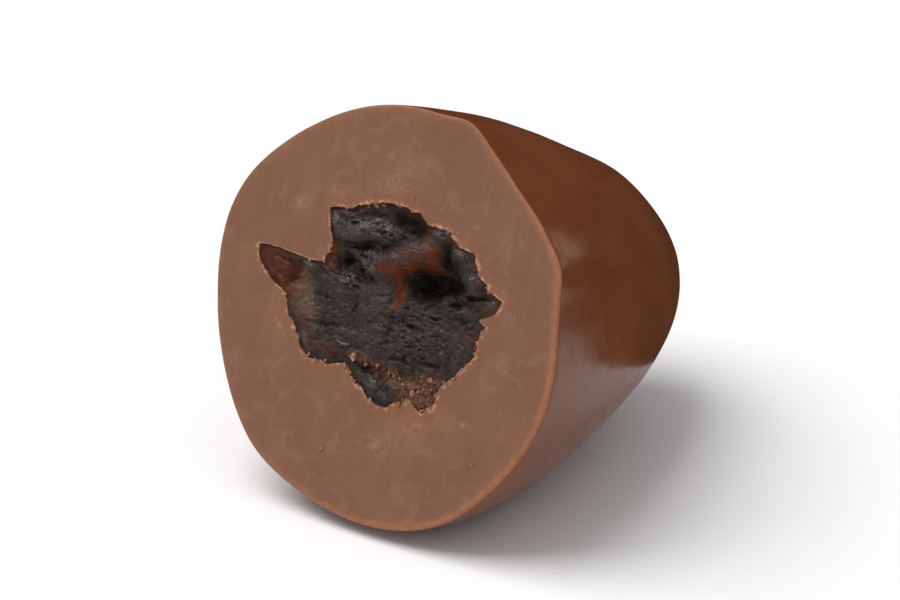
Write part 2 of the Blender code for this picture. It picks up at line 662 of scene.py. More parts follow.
@dataclass(frozen=True)
class CutFinish:
    """The cut through the coating: matte, with faint smears, flecks and a warm rim.

    Args:
        body: The cut's usual brown.
        dull: The same, darker.
        pale: The same, lighter.
        blot: The colour of its pale blots.
        rim: The orange-brown line where the cut meets the outside: partly a thin layer of its own,
            partly painted highlight where the rounded rim catches the light.
        lip: The creamy line where chocolate is dragged over the raisin.
        dragged: The redder chocolate just outside that line.
        roughness: The gloss, from its clearest to its dullest.
        refraction: Its index of refraction.
        scratch: How deep the knife's fine scratches are, in mm.
        pitting: How deep its fine pits are, in mm.
        flecking: How high its flecks stand, in mm.
    """

    body: Colour = (0.204, 0.086, 0.044)
    dull: Colour = (0.180, 0.073, 0.037)
    pale: Colour = (0.255, 0.118, 0.066)
    blot: Colour = (0.310, 0.155, 0.092)
    rim: Colour = (0.330, 0.122, 0.054)
    lip: Colour = (0.440, 0.225, 0.115)
    dragged: Colour = (0.235, 0.083, 0.035)
    roughness: tuple[float, float] = (0.52, 0.66)
    refraction: float = 1.46
    scratch: float = 0.018
    pitting: float = 0.010
    flecking: float = 0.007

    def material(self) -> bpy.types.Material:
        """Builds the material.

        Returns:
            The material.
        """
        look = NodeMaterial("chocolate_cut")
        cloud = look.grain(1.7, 4.0, distortion=0.8)
        drag = look.grain(0.5, 4.0, look.mapped(12.0, (1.0, 1.0, 0.16)))
        mottle = look.grain(0.9, 6.0, distortion=1.2)
        fleck = look.grain(0.13, 3.0)
        colour = look.blend(look.ranged(cloud, 0.32, 0.68, 0.0, 1.0), self.dull, self.body)
        colour = look.blend(look.ranged(drag, 0.50, 0.75, 0.0, 0.3), colour, self.pale)
        colour = look.blend(look.ranged(mottle, 0.52, 0.68, 0.0, 0.45), colour, self.pale)
        colour = look.blend(look.ranged(fleck, 0.56, 0.76, 0.0, 0.4), colour, self.pale)
        colour = look.blend(look.ranged(fleck, 0.40, 0.26, 0.0, 0.6), colour, self.dull)
        near = look.ranged(look.tone(Tone.LIP), 0.02, 0.5, 0.0, 0.9)
        bright = look.ranged(look.tone(Tone.LIP), 0.60, 0.95, 0.0, 0.9)
        for share, tint in (
            (look.broken(look.tone(Tone.BLOT), look.grain(0.10, 5.0), 0.42, 0.58, 0.08), self.blot),
            # The rim's warm line: partly its own orange-brown, partly painted highlight.
            (look.broken(look.tone(Tone.RIM_AND_HIGHLIGHT), look.grain(0.24, 4.0), 0.38, 0.58, 0.55), self.rim),
            (look.broken(near, look.grain(0.45, 4.0), 0.36, 0.60, 0.25), self.dragged),
            (look.broken(bright, look.grain(0.20, 4.0), 0.47, 0.60, 0.0), self.lip),
        ):
            colour = look.blend(share, colour, tint)
        look.feed("Base Color", colour)
        look.feed("Roughness", look.ranged(cloud, 0.3, 0.7, *self.roughness))
        look.constant("IOR", self.refraction)
        look.soften(0.2, (1.0, 0.45, 0.25))
        look.raise_by(
            (drag, self.scratch), (look.grain(0.2, 4.0), self.pitting), (fleck, self.flecking))
        return look.material


@dataclass(frozen=True)
class FleshFinish:
    """The raisin: leathery grey-black skin and flesh with translucent red parts.

    Args:
        name: The material's name.
        shine: How strongly it reflects, where 0.5 is usual; its deep hollows reflect less, as
            painted shade.
        relief: How strong its fine wrinkles and grit are, where 1 is usual.
        black: The flesh's darkest colour.
        grey: The leathery grey of its drier folds.
        dusk: The pinkish grey of its middle.
        slate_and_sheen: A painted blue-grey sheen on its top lobe, valley and foot lobe, and the
            dark grey of its right side.
        flesh: The pinkish brown of its moist flesh.
        ember_glow: The orange-red of its thinnest edges, painted bright as a glow of light shining
            through them.
        maroon: The dark red of its left spike.
        olive: A thin, greenish brown patch of skin.
        crumb: The brown, sugary flesh along its foot.
        roughness: The gloss of its skin, from its clearest to its dullest.
        wet_roughness: How much of that is left where it is wet.
        refraction: Its index of refraction.
        wrinkling: How deep its fine wrinkles are, in mm.
        grittiness: How high its grit stands, in mm.
    """

    name: str
    shine: float
    relief: float = 1.0
    black: Colour = (0.0040, 0.0020, 0.0012)
    grey: Colour = (0.0260, 0.0170, 0.0112)
    dusk: Colour = (0.0430, 0.0240, 0.0170)
    slate_and_sheen: Colour = (0.0500, 0.0320, 0.0285)
    flesh: Colour = (0.0840, 0.0290, 0.0195)
    ember_glow: Colour = (0.1400, 0.0270, 0.0045)
    maroon: Colour = (0.0880, 0.0180, 0.0068)
    olive: Colour = (0.1500, 0.0830, 0.0480)
    crumb: Colour = (0.1800, 0.0720, 0.0400)
    roughness: tuple[float, float] = (0.34, 0.60)
    wet_roughness: float = 0.42
    refraction: float = 1.42
    wrinkling: float = 0.034
    grittiness: float = 0.028

    def material(self) -> bpy.types.Material:
        """Builds the material.

        Returns:
            The material.
        """
        look = NodeMaterial(self.name)
        blotch = look.grain(0.45, 5.0, distortion=0.5)
        grit = look.grain(0.085, 4.0)
        colour = look.blend(look.ranged(blotch, 0.38, 0.60, 0.15, 1.0), self.black, self.grey)
        colour = look.blend(look.ranged(grit, 0.47, 0.36, 0.0, 0.7), colour, self.black)
        # Painted shade: hollows, pores and creases go black, partly over the raisin's own dark
        # colour.
        colour = look.blend(look.tone(Tone.DEEP_SHADE), colour, self.black)
        for tone, tint, least in (
            (Tone.DUSK, self.dusk, 0.45),
            # Dark grey skin, and a painted blue-grey sheen.
            (Tone.SLATE_AND_SHEEN, self.slate_and_sheen, 0.40),
            (Tone.OLIVE, self.olive, 0.60),
            (Tone.MAROON, self.maroon, 0.45),
            (Tone.CRUMBLY, self.crumb, 0.20),
            (Tone.FLESH, self.flesh, 0.50),
            # Orange-red flesh, painted brighter as a glow of light through its thin edges.
            (Tone.EMBER_GLOW, self.ember_glow, 0.60),
        ):
            share = look.broken(look.tone(tone), grit, 0.36, 0.60, least)
            colour = look.blend(share, colour, tint)
        look.feed("Base Color", colour)
        dry = look.ranged(look.grain(0.16, 4.0), 0.36, 0.62, *self.roughness)
        wet = look.ranged(look.tone(Tone.WET), 0.0, 1.0, 1.0, self.wet_roughness)
        look.feed("Roughness", look.product(dry, wet))
        look.constant("IOR", self.refraction)
        look.constant("Specular IOR Level", self.shine)
        look.raise_by(
            (look.grain(0.20, 4.0), self.wrinkling * self.relief),
            (grit, self.grittiness * self.relief))
        return look.material


@dataclass(frozen=True)
class CrumbFinish:
    """Crumbs of chocolate and sugar, paler than the cut because they are scraped loose.

    Args:
        body: Their usual orange-brown.
        pale: The lightest of them.
        roughness: Their gloss.
        grittiness: How high their grit stands, in mm.
    """

    body: Colour = (0.250, 0.084, 0.035)
    pale: Colour = (0.430, 0.250, 0.150)
    roughness: float = 0.42
    grittiness: float = 0.010

    def material(self) -> bpy.types.Material:
        """Builds the material.

        Returns:
            The material.
        """
        look = NodeMaterial("chocolate_crumb")
        paleness = look.ranged(look.grain(0.30, 3.0), 0.48, 0.66, 0.0, 1.0)
        look.feed("Base Color", look.blend(paleness, self.body, self.pale))
        look.constant("Roughness", self.roughness)
        look.raise_by((look.grain(0.06, 3.0), self.grittiness))
        return look.material


@dataclass(frozen=True)
class RaisinOutline:
    """The raisin's section, round its own middle on the cut.

    Args:
        middle: The place of its middle across and up the cut, in mm.
        wide: Half the oval's length, in mm.
        high: Half the oval's width, in mm.
        turn: How far the oval's length is turned from across towards up, in degrees.
        lobes: Its lobes, spikes and notches.
        nibbles: The small, sharp corners of its edge.
        fray: How far its edge wanders, in mm, and how far apart the wanders are.
    """

    middle: tuple[float, float] = (-0.6, 0.3)
    wide: float = 3.99
    high: float = 2.95
    turn: float = 20.0
    lobes: tuple[Bulge, ...] = (
        Bulge(173, 1.78, 9),
        Bulge(159, -1.19, 19),
        Bulge(134, 0.57, 5),
        Bulge(101, 0.25, 27),
        Bulge(33, 0.13, 8),
        Bulge(15, 0.67, 9),
        Bulge(-13, 0.43, 15),
        Bulge(-44, 0.73, 14),
        Bulge(-73, 0.35, 11),
        Bulge(-109, -0.83, 22),
        Bulge(-152, -0.78, 25),
    )
    nibbles: tuple[Bulge, ...] = (
        Bulge(170.3, 0.34, 2.2),
        Bulge(164, -0.24, 3),
        Bulge(155, 0.15, 3.5),
        Bulge(143, -0.10, 4),
        Bulge(136, -0.22, 3.5),
        Bulge(127, 0.24, 5),
        Bulge(114, 0.06, 3),
        Bulge(93, 0.08, 3),
        Bulge(74, 0.08, 2.5),
        Bulge(65, -0.14, 4),
        Bulge(53, 0.10, 3),
        Bulge(44, -0.08, 2.5),
        Bulge(37, 0.12, 2.5),
        Bulge(28, -0.12, 2.5),
        Bulge(20.5, -0.10, 2),
        Bulge(15.3, 0.14, 1.8),
        Bulge(7.8, -0.34, 2),
        Bulge(-17, -0.13, 4),
        Bulge(-34, -0.13, 5),
        Bulge(-49.5, 0.18, 2.5),
        Bulge(-54, -0.24, 2.2),
        Bulge(-108, -0.12, 7),
        Bulge(-138, 0.10, 6),
        Bulge(-177, 0.22, 3),
    )
    fray: tuple[float, float] = (0.085, 0.34)

    def radius(self, angle: np.ndarray, share: float) -> np.ndarray:
        """The raisin's radius.

        Args:
            angle: Angles round it, in radians.
            share: How deep the section lies, from 0 at the cut to 1 at its far end.

        Returns:
            The radius at each angle, in mm.
        """
        turned = angle - math.radians(self.turn)
        oval = self.wide * self.high / np.hypot(
            self.high * np.cos(turned), self.wide * np.sin(turned))
        lobes = bulged(angle, self.lobes + self.nibbles) * (1.0 - share) ** 2
        radius = oval + lobes
        edge = radius[:, None] * spokes(angle)
        reach, size = self.fray
        frayed = reach * rough(edge, size, 3.1) + 0.6 * reach * rough(edge, size / 2.6, 8.3)
        return (radius + frayed * (1.0 - share) ** 2) * math.sqrt(1.0 - share ** 2)

    def centre(self) -> np.ndarray:
        """Its middle as a point on the cut's plane, in mm."""
        return np.array([self.middle[0], 0.0, self.middle[1]])

    def edge_at(self, angle: float) -> float:
        """How far its edge is from its middle at an angle in radians, in mm."""
        return self.radius(np.array([angle]), 0.0)[0]

    def distances(self, across: float, up: float) -> tuple[float, float]:
        """How far a place, and the edge in its direction, are from its middle.

        Args:
            across: The place across the cut, in mm.
            up: The place up the cut, in mm.

        Returns:
            The place's distance and the edge's, in mm.
        """
        right, rise = across - self.middle[0], up - self.middle[1]
        return math.hypot(right, rise), self.edge_at(math.atan2(rise, right))


@dataclass(frozen=True)
class ChocolateHalf:
    """The coating: its side, rim and cut, and the pocket that the raisin fills.

    Args:
        cut_radius: The cut's radius before its bulges, in mm.
        half_length: From the cut to the tip of the nose, in mm.
        nose_lean: How far the nose leans across and up, in mm.
        flank_power: How soon the side starts to taper.
        nose_power: How blunt the nose is.
        bulges: The bulges and dips of the cut's outline.
        swells: The swells and dips of the side.
        waves: The side's faint unevenness.
        grain: The cut's faint swells, knife drags and grain.
        rim_round: The rim's usual radius, in mm.
        rim_swells: Where the rim is rounder or sharper.
        rim_wobble: How much that radius wobbles, as a share of it.
        rim_circle: The radius of the circle on which the wobble is read, in mm.
        rim_flat: How wide the even strip just inside the rim is, in mm.
        rim_shown: How strong the rim's warm line, partly painted highlight, is all round.
        rim_highlight: Where that line is stronger, as painted highlight along the right and lower
            rim.
        rim_line: How wide that line is and how much its width varies, in mm.
        blots: Pale blots on the cut; their depth is their strength.
        dents: Small dents in the cut.
        blot_height: How high the blots stand, in mm.
        smears: Smears of redder chocolate beside the raisin; their depth is their strength.
        lip_height: How high the chocolate dragged over the raisin's edge stands, in mm.
        lip_width: How wide that chocolate is, in mm.
        lip_breaks: The usual share of its height and how much that varies along it.
        halo: How wide its colour shows and how much that varies, in mm.
        pocket_depth: How deep the raisin goes, in mm.
        pocket_gap: The gap round the raisin, in mm.
        pocket_end: How far round its last ring lies, in degrees, where 90 is the very end.
        sides: How many points each ring has.
        side_rings: How many rings the side has.
        rim_rings: How many rings the rim has.
        cut_rings: How many rings the cut has.
        crowding: How much the cut's rings crowd towards the raisin, where 1 is evenly.
        pocket_rings: How many rings the pocket has.
    """

    cut_radius: float = 6.57
    half_length: float = 12.9
    nose_lean: tuple[float, float] = (1.0, 1.55)
    flank_power: float = 1.65
    nose_power: float = 2.05
    bulges: tuple[Bulge, ...] = (
        Bulge(159, 0.42, 22),
        Bulge(77, 0.25, 7),
        Bulge(99, 0.26, 40),
        Bulge(28, 0.19, 7),
        Bulge(10, -0.19, 19),
        Bulge(54, -0.19, 12),
        Bulge(-69, 0.25, 26),
        Bulge(-126, 0.17, 16),
    )
    swells: tuple[Swell, ...] = (
        Swell(-57, 14, 0.13, 15),
        Swell(-45, 38, -0.11, 16),
        Swell(0, 57, 0.08, 15),
        Swell(74, 48, 0.07, 12),
        Swell(90, 18, 0.08, 10),
        Swell(86, 34, -0.07, 9),
    )
    waves: tuple[Ripple, ...] = (Ripple(0.022, 3.2, 1.7), Ripple(0.006, 1.2, 1.7))
    grain: tuple[Ripple, ...] = (
        Ripple(0.025, 2.3, 4.4),
        Ripple(0.008, 0.34, 6.1, 0.22),
        Ripple(0.005, 0.16, 2.9),
    )
    rim_round: float = 0.085
    rim_swells: tuple[Bulge, ...] = (
        Bulge(-5, 0.045, 32),
        Bulge(-60, 0.030, 28),
        Bulge(120, -0.020, 50),
    )
    rim_wobble: float = 0.3
    rim_circle: float = 6.0
    rim_flat: float = 0.3
    rim_shown: float = 0.30
    # Painted highlight along the right and lower rim.
    rim_highlight: tuple[Bulge, ...] = (
        Bulge(10, 0.8, 60),
        Bulge(-70, 0.7, 50),
    )
    rim_line: tuple[float, float] = (0.13, 0.07)
    blots: tuple[Patch, ...] = (
        Patch(-4.1, 2.75, 0.30, 0.20, 20, 1.0),
        Patch(-4.0, -1.25, 0.28, 0.16, -30, 0.9),
        Patch(-3.75, -1.50, 0.16, 0.12, 0, 0.9),
        Patch(1.85, -3.05, 0.30, 0.15, 10, 0.8),
        Patch(3.50, -2.60, 0.14, 0.10, 0, 0.9),
        Patch(0.50, -4.10, 0.22, 0.12, 30, 1.0),
        Patch(0.90, -4.35, 0.10, 0.08, 0, 0.8),
        Patch(-1.05, 5.05, 0.16, 0.09, 0, 0.7),
        Patch(-2.90, 3.60, 0.10, 0.08, 0, 0.6),
        Patch(2.60, 3.70, 0.12, 0.08, 40, 0.7),
        Patch(4.60, 1.20, 0.10, 0.10, 0, 0.7),
        Patch(-0.70, 4.20, 1.00, 0.60, 25, 0.45),
        Patch(-0.20, 4.75, 0.70, 0.30, 40, 0.45),
        Patch(-2.60, 3.45, 0.60, 0.30, 30, 0.40),
        Patch(4.30, 1.40, 0.35, 0.80, 20, 0.40),
        Patch(4.55, -0.40, 0.25, 0.70, 0, 0.35),
        Patch(0.70, -3.85, 0.90, 0.50, 15, 0.40),
        Patch(1.60, -3.40, 0.60, 0.35, 10, 0.40),
        Patch(3.00, -2.70, 0.50, 0.35, -20, 0.35),
        Patch(-4.10, -0.90, 0.30, 0.60, 10, 0.35),
    )
    dents: tuple[Patch, ...] = (
        Patch(0.25, -4.05, 0.22, 0.10, 20, 0.05),
        Patch(0.75, -4.15, 0.12, 0.08, 0, 0.04),
        Patch(-0.10, -3.85, 0.10, 0.07, 0, 0.03),
        Patch(-4.3, 2.6, 0.12, 0.10, 0, 0.03),
        Patch(1.6, -3.15, 0.10, 0.08, 0, 0.03),
        Patch(-1.2, 4.9, 0.10, 0.07, 0, 0.03),
    )
    blot_height: float = 0.02
    smears: tuple[Patch, ...] = (
        Patch(1.60, -2.80, 0.65, 0.26, 8, 0.45),
        Patch(-0.95, -2.15, 0.45, 0.22, -35, 0.30),
        Patch(2.90, 2.60, 0.40, 0.20, -40, 0.30),
        Patch(-3.70, 1.40, 0.60, 0.22, -12, 0.30),
        Patch(-1.90, 3.55, 0.60, 0.20, 15, 0.22),
        Patch(3.80, -0.60, 0.22, 0.50, 0, 0.25),
    )
    lip_height: float = 0.035
    lip_width: float = 0.12
    lip_breaks: tuple[float, float] = (0.4, 1.6)
    halo: tuple[float, float] = (0.25, 0.18)
    pocket_depth: float = 8.4
    pocket_gap: float = 0.02
    pocket_end: float = 88.0
    sides: int = 480
    side_rings: int = 84
    rim_rings: int = 6
    cut_rings: int = 90
    crowding: float = 1.25
    pocket_rings: int = 18

    def angles(self) -> np.ndarray:
        """The angles round a ring, in radians."""
        return np.arange(self.sides) * TAU / self.sides

    def leant(self, depth: float) -> np.ndarray:
        """Where the sweet's middle line lies at a depth under the cut.

        Args:
            depth: The depth, in mm.

        Returns:
            The place in the sweet's axes, in mm.
        """
        lean = (depth / self.half_length) ** 2
        return np.array([self.nose_lean[0] * lean, depth, self.nose_lean[1] * lean])

    def side_ring(self, share: np.ndarray) -> np.ndarray:
        """One ring of the side.

        Args:
            share: Where each of its points lies, from 0 at the cut to 1 at the nose.

        Returns:
            Its points in the sweet's axes, in mm.
        """
        angle = self.angles()
        flat = np.sqrt(1.0 - share ** 2)
        bulge = bulged(angle, self.bulges) * (1.0 - share)
        taper = (1.0 - share ** self.flank_power) ** (1.0 / self.nose_power)
        radius = (self.cut_radius + bulge) * taper
        outward = np.stack([flat * np.cos(angle), share, flat * np.sin(angle)], axis=-1)
        points = np.stack([
            radius * np.cos(angle) + self.nose_lean[0] * share ** 2,
            self.half_length * share,
            radius * np.sin(angle) + self.nose_lean[1] * share ** 2,
        ], axis=-1)
        reach = np.zeros_like(angle)
        for swell in self.swells:
            around, lift = math.radians(swell.angle), math.radians(swell.latitude)
            middle = np.array([
                math.cos(lift) * math.cos(around),
                math.sin(lift),
                math.cos(lift) * math.sin(around),
            ])
            turn = np.degrees(np.arccos(np.clip(outward @ middle, -1.0, 1.0)))
            reach += swell.reach * np.exp(-((turn / swell.spread) ** 2))
        for wave in self.waves:
            reach += wave.height(points)
        return points + outward * reach[:, None]

    def rim_radius(self) -> np.ndarray:
        """How round the rim is, all the way round.

        Returns:
            Its radius at each angle, in mm.
        """
        angle = self.angles()
        circle = self.rim_circle * spokes(angle)
        usual = self.rim_round + bulged(angle, self.rim_swells)
        return usual * (1.0 + self.rim_wobble * rough(circle, 0.9, 2.5))

    def rim(self, edge: np.ndarray) -> list[np.ndarray]:
        """The rounded rim, from the side's last ring onto the cut.

        Args:
            edge: The side's last ring, one rim radius deep.

        Returns:
            Its rings, the last of them on the cut.
        """
        radius = self.rim_radius()[:, None]
        outward = spokes(self.angles())
        forward = np.array([0.0, -1.0, 0.0])
        rings = []
        for step in range(1, self.rim_rings + 1):
            turn = QUARTER * step / self.rim_rings
            drop = outward * (math.cos(turn) - 1.0) + forward * math.sin(turn)
            rings.append(edge + radius * drop)
        rings[-1][:, 1] = 0.0
        return rings

    def cut_height(self, points: np.ndarray, mouth: np.ndarray, rim: np.ndarray) -> np.ndarray:
        """How far the cut stands proud of its plane.

        Args:
            points: Points on the plane, in mm.
            mouth: Each point's distance from the raisin, in mm.
            rim: Each point's distance from the rim, in mm.

        Returns:
            The height at each point, in mm.
        """
        height = sum(ripple.height(points) for ripple in self.grain)
        for dent in self.dents:
            height -= dent.depth * dent.share(points[:, 0], points[:, 2])
        for blot in self.blots:
            height += self.blot_height * blot.share(points[:, 0], points[:, 2])
        breaks = self.lip_breaks[0] + self.lip_breaks[1] * rough(points, 0.35, 9.2)
        lip = np.exp(-((mouth / self.lip_width) ** 2)) * breaks
        height += self.lip_height * np.maximum(lip, 0.0)
        return height * np.clip(rim / self.rim_flat, 0.0, 1.0)

    def cut_tones(
        self, points: np.ndarray, mouth: np.ndarray, rim: np.ndarray, shown: np.ndarray
    ) -> dict[Tone, np.ndarray]:
        """The strength of each tone on the cut.

        Args:
            points: Points on the cut, in mm.
            mouth: Each point's distance from the raisin, in mm.
            rim: Each point's distance from the rim, in mm.
            shown: How strong the rim's line, partly painted highlight, is at each point's angle.

        Returns:
            One mask for each tone.
        """
        stray = rough(points, 0.5, 7.7)
        moved = points + 0.1 * stray[:, None]
        across, up = moved[:, 0], moved[:, 2]
        lip = np.exp(-((mouth / (self.halo[0] + self.halo[1] * stray)) ** 2))
        for smear in self.smears:
            lip = np.maximum(lip, smear.depth * smear.share(across, up))
        line = np.exp(-((rim / (self.rim_line[0] + self.rim_line[1] * stray)) ** 2))
        blots = [blot.depth * blot.share(across, up) for blot in self.blots]
        return {Tone.LIP: lip, Tone.RIM_AND_HIGHLIGHT: shown * line, Tone.BLOT: np.max(blots, axis=0)}

    def build(self, outline: RaisinOutline, axes: SweetAxes) -> bpy.types.Mesh:
        """Makes the mesh, from the nose over the side, rim and cut into the pocket.

        Args:
            outline: The raisin's section.
            axes: Where the sweet lies.

        Returns:
            The mesh in the row frame, with its tones.
        """
        angle = self.angles()
        last = np.arcsin(self.rim_radius() / self.half_length)
        rings = []
        for step in range(1, self.side_rings + 1):
            lift = QUARTER + (last - QUARTER) * step / self.side_rings
            rings.append(self.side_ring(np.sin(lift)))
        rings += self.rim(rings[-1])
        border = rings[-1]
        plain = len(rings) - self.rim_rings
        cut_start = (plain + 1) * self.sides
        none = np.zeros(self.sides)
        # The rim's warm line, stronger where painted highlight marks the right and lower rim.
        shown = np.clip(self.rim_shown + bulged(angle, self.rim_highlight), 0.0, 1.0)
        masks = {
            Tone.LIP: [none] * len(rings),
            Tone.RIM_AND_HIGHLIGHT: [none] * plain + [shown] * self.rim_rings,
            Tone.BLOT: [none] * len(rings),
        }

        ray = spokes(angle)
        mouth = outline.centre() + ray * (outline.radius(angle, 0.0) + self.pocket_gap)[:, None]
        width = np.linalg.norm(mouth - border, axis=1)
        steps = np.arange(1, self.cut_rings + 1) / self.cut_rings
        for step in 1.0 - (1.0 - steps) ** self.crowding:
            points = border + (mouth - border) * step
            to_mouth, to_rim = width * (1.0 - step), width * step
            points[:, 1] = -self.cut_height(points, to_mouth, to_rim)
            rings.append(points)
            for tone, mask in self.cut_tones(points, to_mouth, to_rim, shown).items():
                masks[tone].append(mask)
        for step in range(1, self.pocket_rings + 1):
            share = math.sin(math.radians(self.pocket_end) * step / self.pocket_rings)
            radius = outline.radius(angle, share) + self.pocket_gap
            points = outline.centre() + ray * radius[:, None]
            rings.append(points + self.leant(self.pocket_depth * share))
            masks[Tone.LIP].append(np.full(self.sides, 1.0 - share))
            masks[Tone.RIM_AND_HIGHLIGHT].append(none)
            masks[Tone.BLOT].append(none)

        nose, foot = self.leant(self.half_length), rings[-1].mean(axis=0)
        mesh = loft(
            "chocolate_half", axes.place(np.array(rings)), axes.place(nose), axes.place(foot))
        for tone, strengths in masks.items():
            set_tone(mesh, tone, np.concatenate([*strengths, [0.0, 0.0]]))
        slots = [int(min(face.vertices) >= cut_start) for face in mesh.polygons]
        mesh.polygons.foreach_set("material_index", slots)
        return mesh

    def dress(self, mesh: bpy.types.Mesh) -> bpy.types.Object:
        """Adds the piece, its finishes and its place in the frame.

        Args:
            mesh: Its mesh.

        Returns:
            The piece.
        """
        mesh.materials.append(SideFinish().material())
        mesh.materials.append(CutFinish().material())
        close_outward(mesh)
        piece = add_piece("chocolate_half", mesh)
        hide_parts("chocolate")
        return piece


@dataclass(frozen=True)
class Raisin:
    """The raisin: the relief of its cut surface, and the part inside the chocolate.

    Args:
        depth: How deep it goes, in mm.
        sides: How many points each ring has.
        cut_rings: How many rings its cut surface has.
        body_rings: How many rings the part inside has.
        hollows: The large hollows and ridges of its cut surface.
        nicks: The smaller ones.
        pores: How many small pores are strewn in each patch of skin; the depth of such a
            patch is the pores' own.
        pore_sizes: The smallest and largest pore, in mm.
        pore_stretch: A pore's half length, as a share of its size, at least and at most.
        pore_width: A pore's half width, as a share of its size.
        pore_turn: How far a pore is turned from its patch's own way, at most, in degrees.
        pore_depths: How much of its patch's depth a pore has, at least and at most.
        stray: How the edges of its hollows wander.
        fold_height: How high the fine folds of its skin stand, in mm.
        fold_size: How far apart they are, in mm.
        comb: How much across and up count where they are read, so that they run long.
        skin: Where they stand higher; its depth is by how much.
        crumple: How high its large folds stand and how far apart they are, in mm.
        grain: Its finest relief.
        lumps: How high the lumps of its crumbly foot stand and how far apart, in mm.
        roll: How far its edge is rolled in, in mm, and how much that varies, as a share.
        stain: How wide the dark red of its edge is and how much that varies, as shares
            of its radius.
        stain_breaks: The usual share of its strength and how much that varies along it.
        stain_tone: How strong that red is.
        crease_shade: How dark the painted shade in the creases between its folds is.
        crease_reach: How far up a fold that painted shade reaches, as a share of the fold.
        pore_shade: How dark the painted shade in its pores is.
        tone_strays: How the edges of its tones wander.
        form_edge: How firm the edges of its skin's and foot's ovals are, 2 being soft.
        tone_edge: How firm the edges of its tones are.
        deep_edge: The same for the tone of painted shade alone.
        tones: The ovals where each tone shows.
        dull_tones: How much the red tones dull its shine, beside the full share of its painted
            shade.
        dull_from: The dullness where its shade and its dull hollows, both painted shade, start.
        wet_from: The strength of the wet tone where its brighter gloss starts.
        finishes: Its finishes, in the order of their gloss.
        seed: What the random draws start from.
    """

    depth: float = 8.4
    sides: int = 560
    cut_rings: int = 128
    body_rings: int = 20
    hollows: tuple[Patch, ...] = (
        Patch(0.95, 1.33, 1.0, 0.52, 12, 0.95),
        Patch(-1.8, 1.3, 0.95, 0.25, -24, 0.45),
        Patch(0.3, 2.15, 1.3, 0.35, 30, -0.25),
        Patch(-1.9, 2.4, 0.7, 0.55, 0, -0.3),
        Patch(-3.5, 0.15, 0.6, 0.35, -40, 0.3),
        Patch(-0.3, 0.1, 0.9, 0.7, 20, -0.15),
        Patch(1.3, -0.8, 1.5, 0.9, 10, -0.12),
        Patch(0.2, -2.3, 0.6, 0.35, 0, -0.15),
        Patch(0.1, -1.75, 1.1, 0.2, 5, 0.35),
    )
    nicks: tuple[Patch, ...] = (
        Patch(-1.60, 1.98, 0.95, 0.13, 7, 0.28),
        Patch(-1.25, 1.76, 0.45, 0.09, -5, -0.10),
        Patch(-1.45, 1.00, 0.40, 0.55, 0, 0.22),
        Patch(-1.10, 2.95, 0.65, 0.16, -8, 0.22),
        Patch(0.05, 3.10, 0.65, 0.32, -15, 0.30),
        Patch(1.20, 3.15, 0.42, 0.13, -8, -0.14),
        Patch(1.58, 2.40, 0.24, 0.55, 6, 0.45),
        Patch(1.95, 1.60, 0.50, 0.30, 10, 0.40),
        Patch(2.75, 2.05, 0.32, 0.40, 30, -0.20),
        Patch(3.15, 1.45, 0.32, 0.08, 15, 0.24),
        Patch(2.75, 1.36, 0.24, 0.08, 5, 0.20),
        Patch(2.25, 0.98, 0.30, 0.08, 12, 0.20),
        Patch(2.75, 0.60, 0.22, 0.09, 20, 0.20),
        Patch(3.05, 0.25, 0.20, 0.07, -10, 0.16),
        Patch(1.90, -1.05, 0.40, 0.07, 14, 0.16),
        Patch(0.90, -1.25, 0.45, 0.06, -8, 0.14),
        Patch(2.55, -0.55, 0.10, 0.45, 15, 0.14),
        Patch(-2.62, 1.02, 0.36, 0.045, -38, 0.10),
        Patch(-2.46, 1.12, 0.36, 0.045, -46, 0.10),
        Patch(-2.30, 1.22, 0.36, 0.045, -54, 0.10),
        Patch(-2.80, 0.90, 0.40, 0.045, -30, 0.10),
        Patch(-3.85, 0.35, 0.10, 0.55, -15, 0.14),
        Patch(-4.55, 0.42, 0.55, 0.06, -35, 0.09),
        Patch(-4.20, 0.78, 0.45, 0.05, -20, 0.07),
        Patch(-3.05, 0.05, 0.09, 0.50, 12, 0.10),
        Patch(-2.15, -0.10, 0.60, 0.10, -35, 0.12),
        Patch(-1.35, 0.15, 0.12, 0.45, 10, 0.12),
        Patch(0.15, -0.35, 0.10, 0.50, -8, 0.12),
        Patch(-2.40, -0.85, 0.80, 0.09, 12, 0.10),
        Patch(-1.00, -0.90, 0.12, 0.50, 20, 0.10),
    )
    pores: tuple[tuple[int, Patch], ...] = (
        (110, Patch(1.55, -0.35, 1.75, 1.15, 12, 0.075)),
        (34, Patch(2.70, 0.90, 0.80, 0.70, 15, 0.09)),
        (24, Patch(-1.70, -0.60, 1.50, 0.90, 10, 0.05)),
        (30, Patch(-0.90, 2.80, 1.20, 0.40, 0, 0.12)),
        (26, Patch(-1.50, 1.30, 0.60, 0.80, 0, 0.11)),
        (30, Patch(-4.40, 0.60, 0.80, 0.40, -30, 0.04)),
    )
    pore_sizes: tuple[float, float] = (0.025, 0.07)
    pore_stretch: tuple[float, float] = (1.2, 2.6)
    pore_width: float = 0.6
    pore_turn: float = 25.0
    pore_depths: tuple[float, float] = (0.4, 1.2)
    stray: Stray = Stray(0.14, 0.55, (2.2, 11.4))
    fold_height: float = 0.09
    fold_size: float = 0.34
    comb: tuple[float, float] = (0.45, 0.35)
    skin: Patch = Patch(1.5, -0.4, 2.2, 1.5, 10, 0.02)
    crumple: tuple[float, float] = (0.13, 1.1)
    grain: Ripple = Ripple(0.022, 0.12, 5.9)
    lumps: tuple[float, float] = (0.15, 0.20)
    roll: tuple[float, float] = (0.06, 1.5)
    stain: tuple[float, float] = (0.05, 0.04)
    stain_breaks: tuple[float, float] = (0.5, 1.6)
    stain_tone: float = 0.6
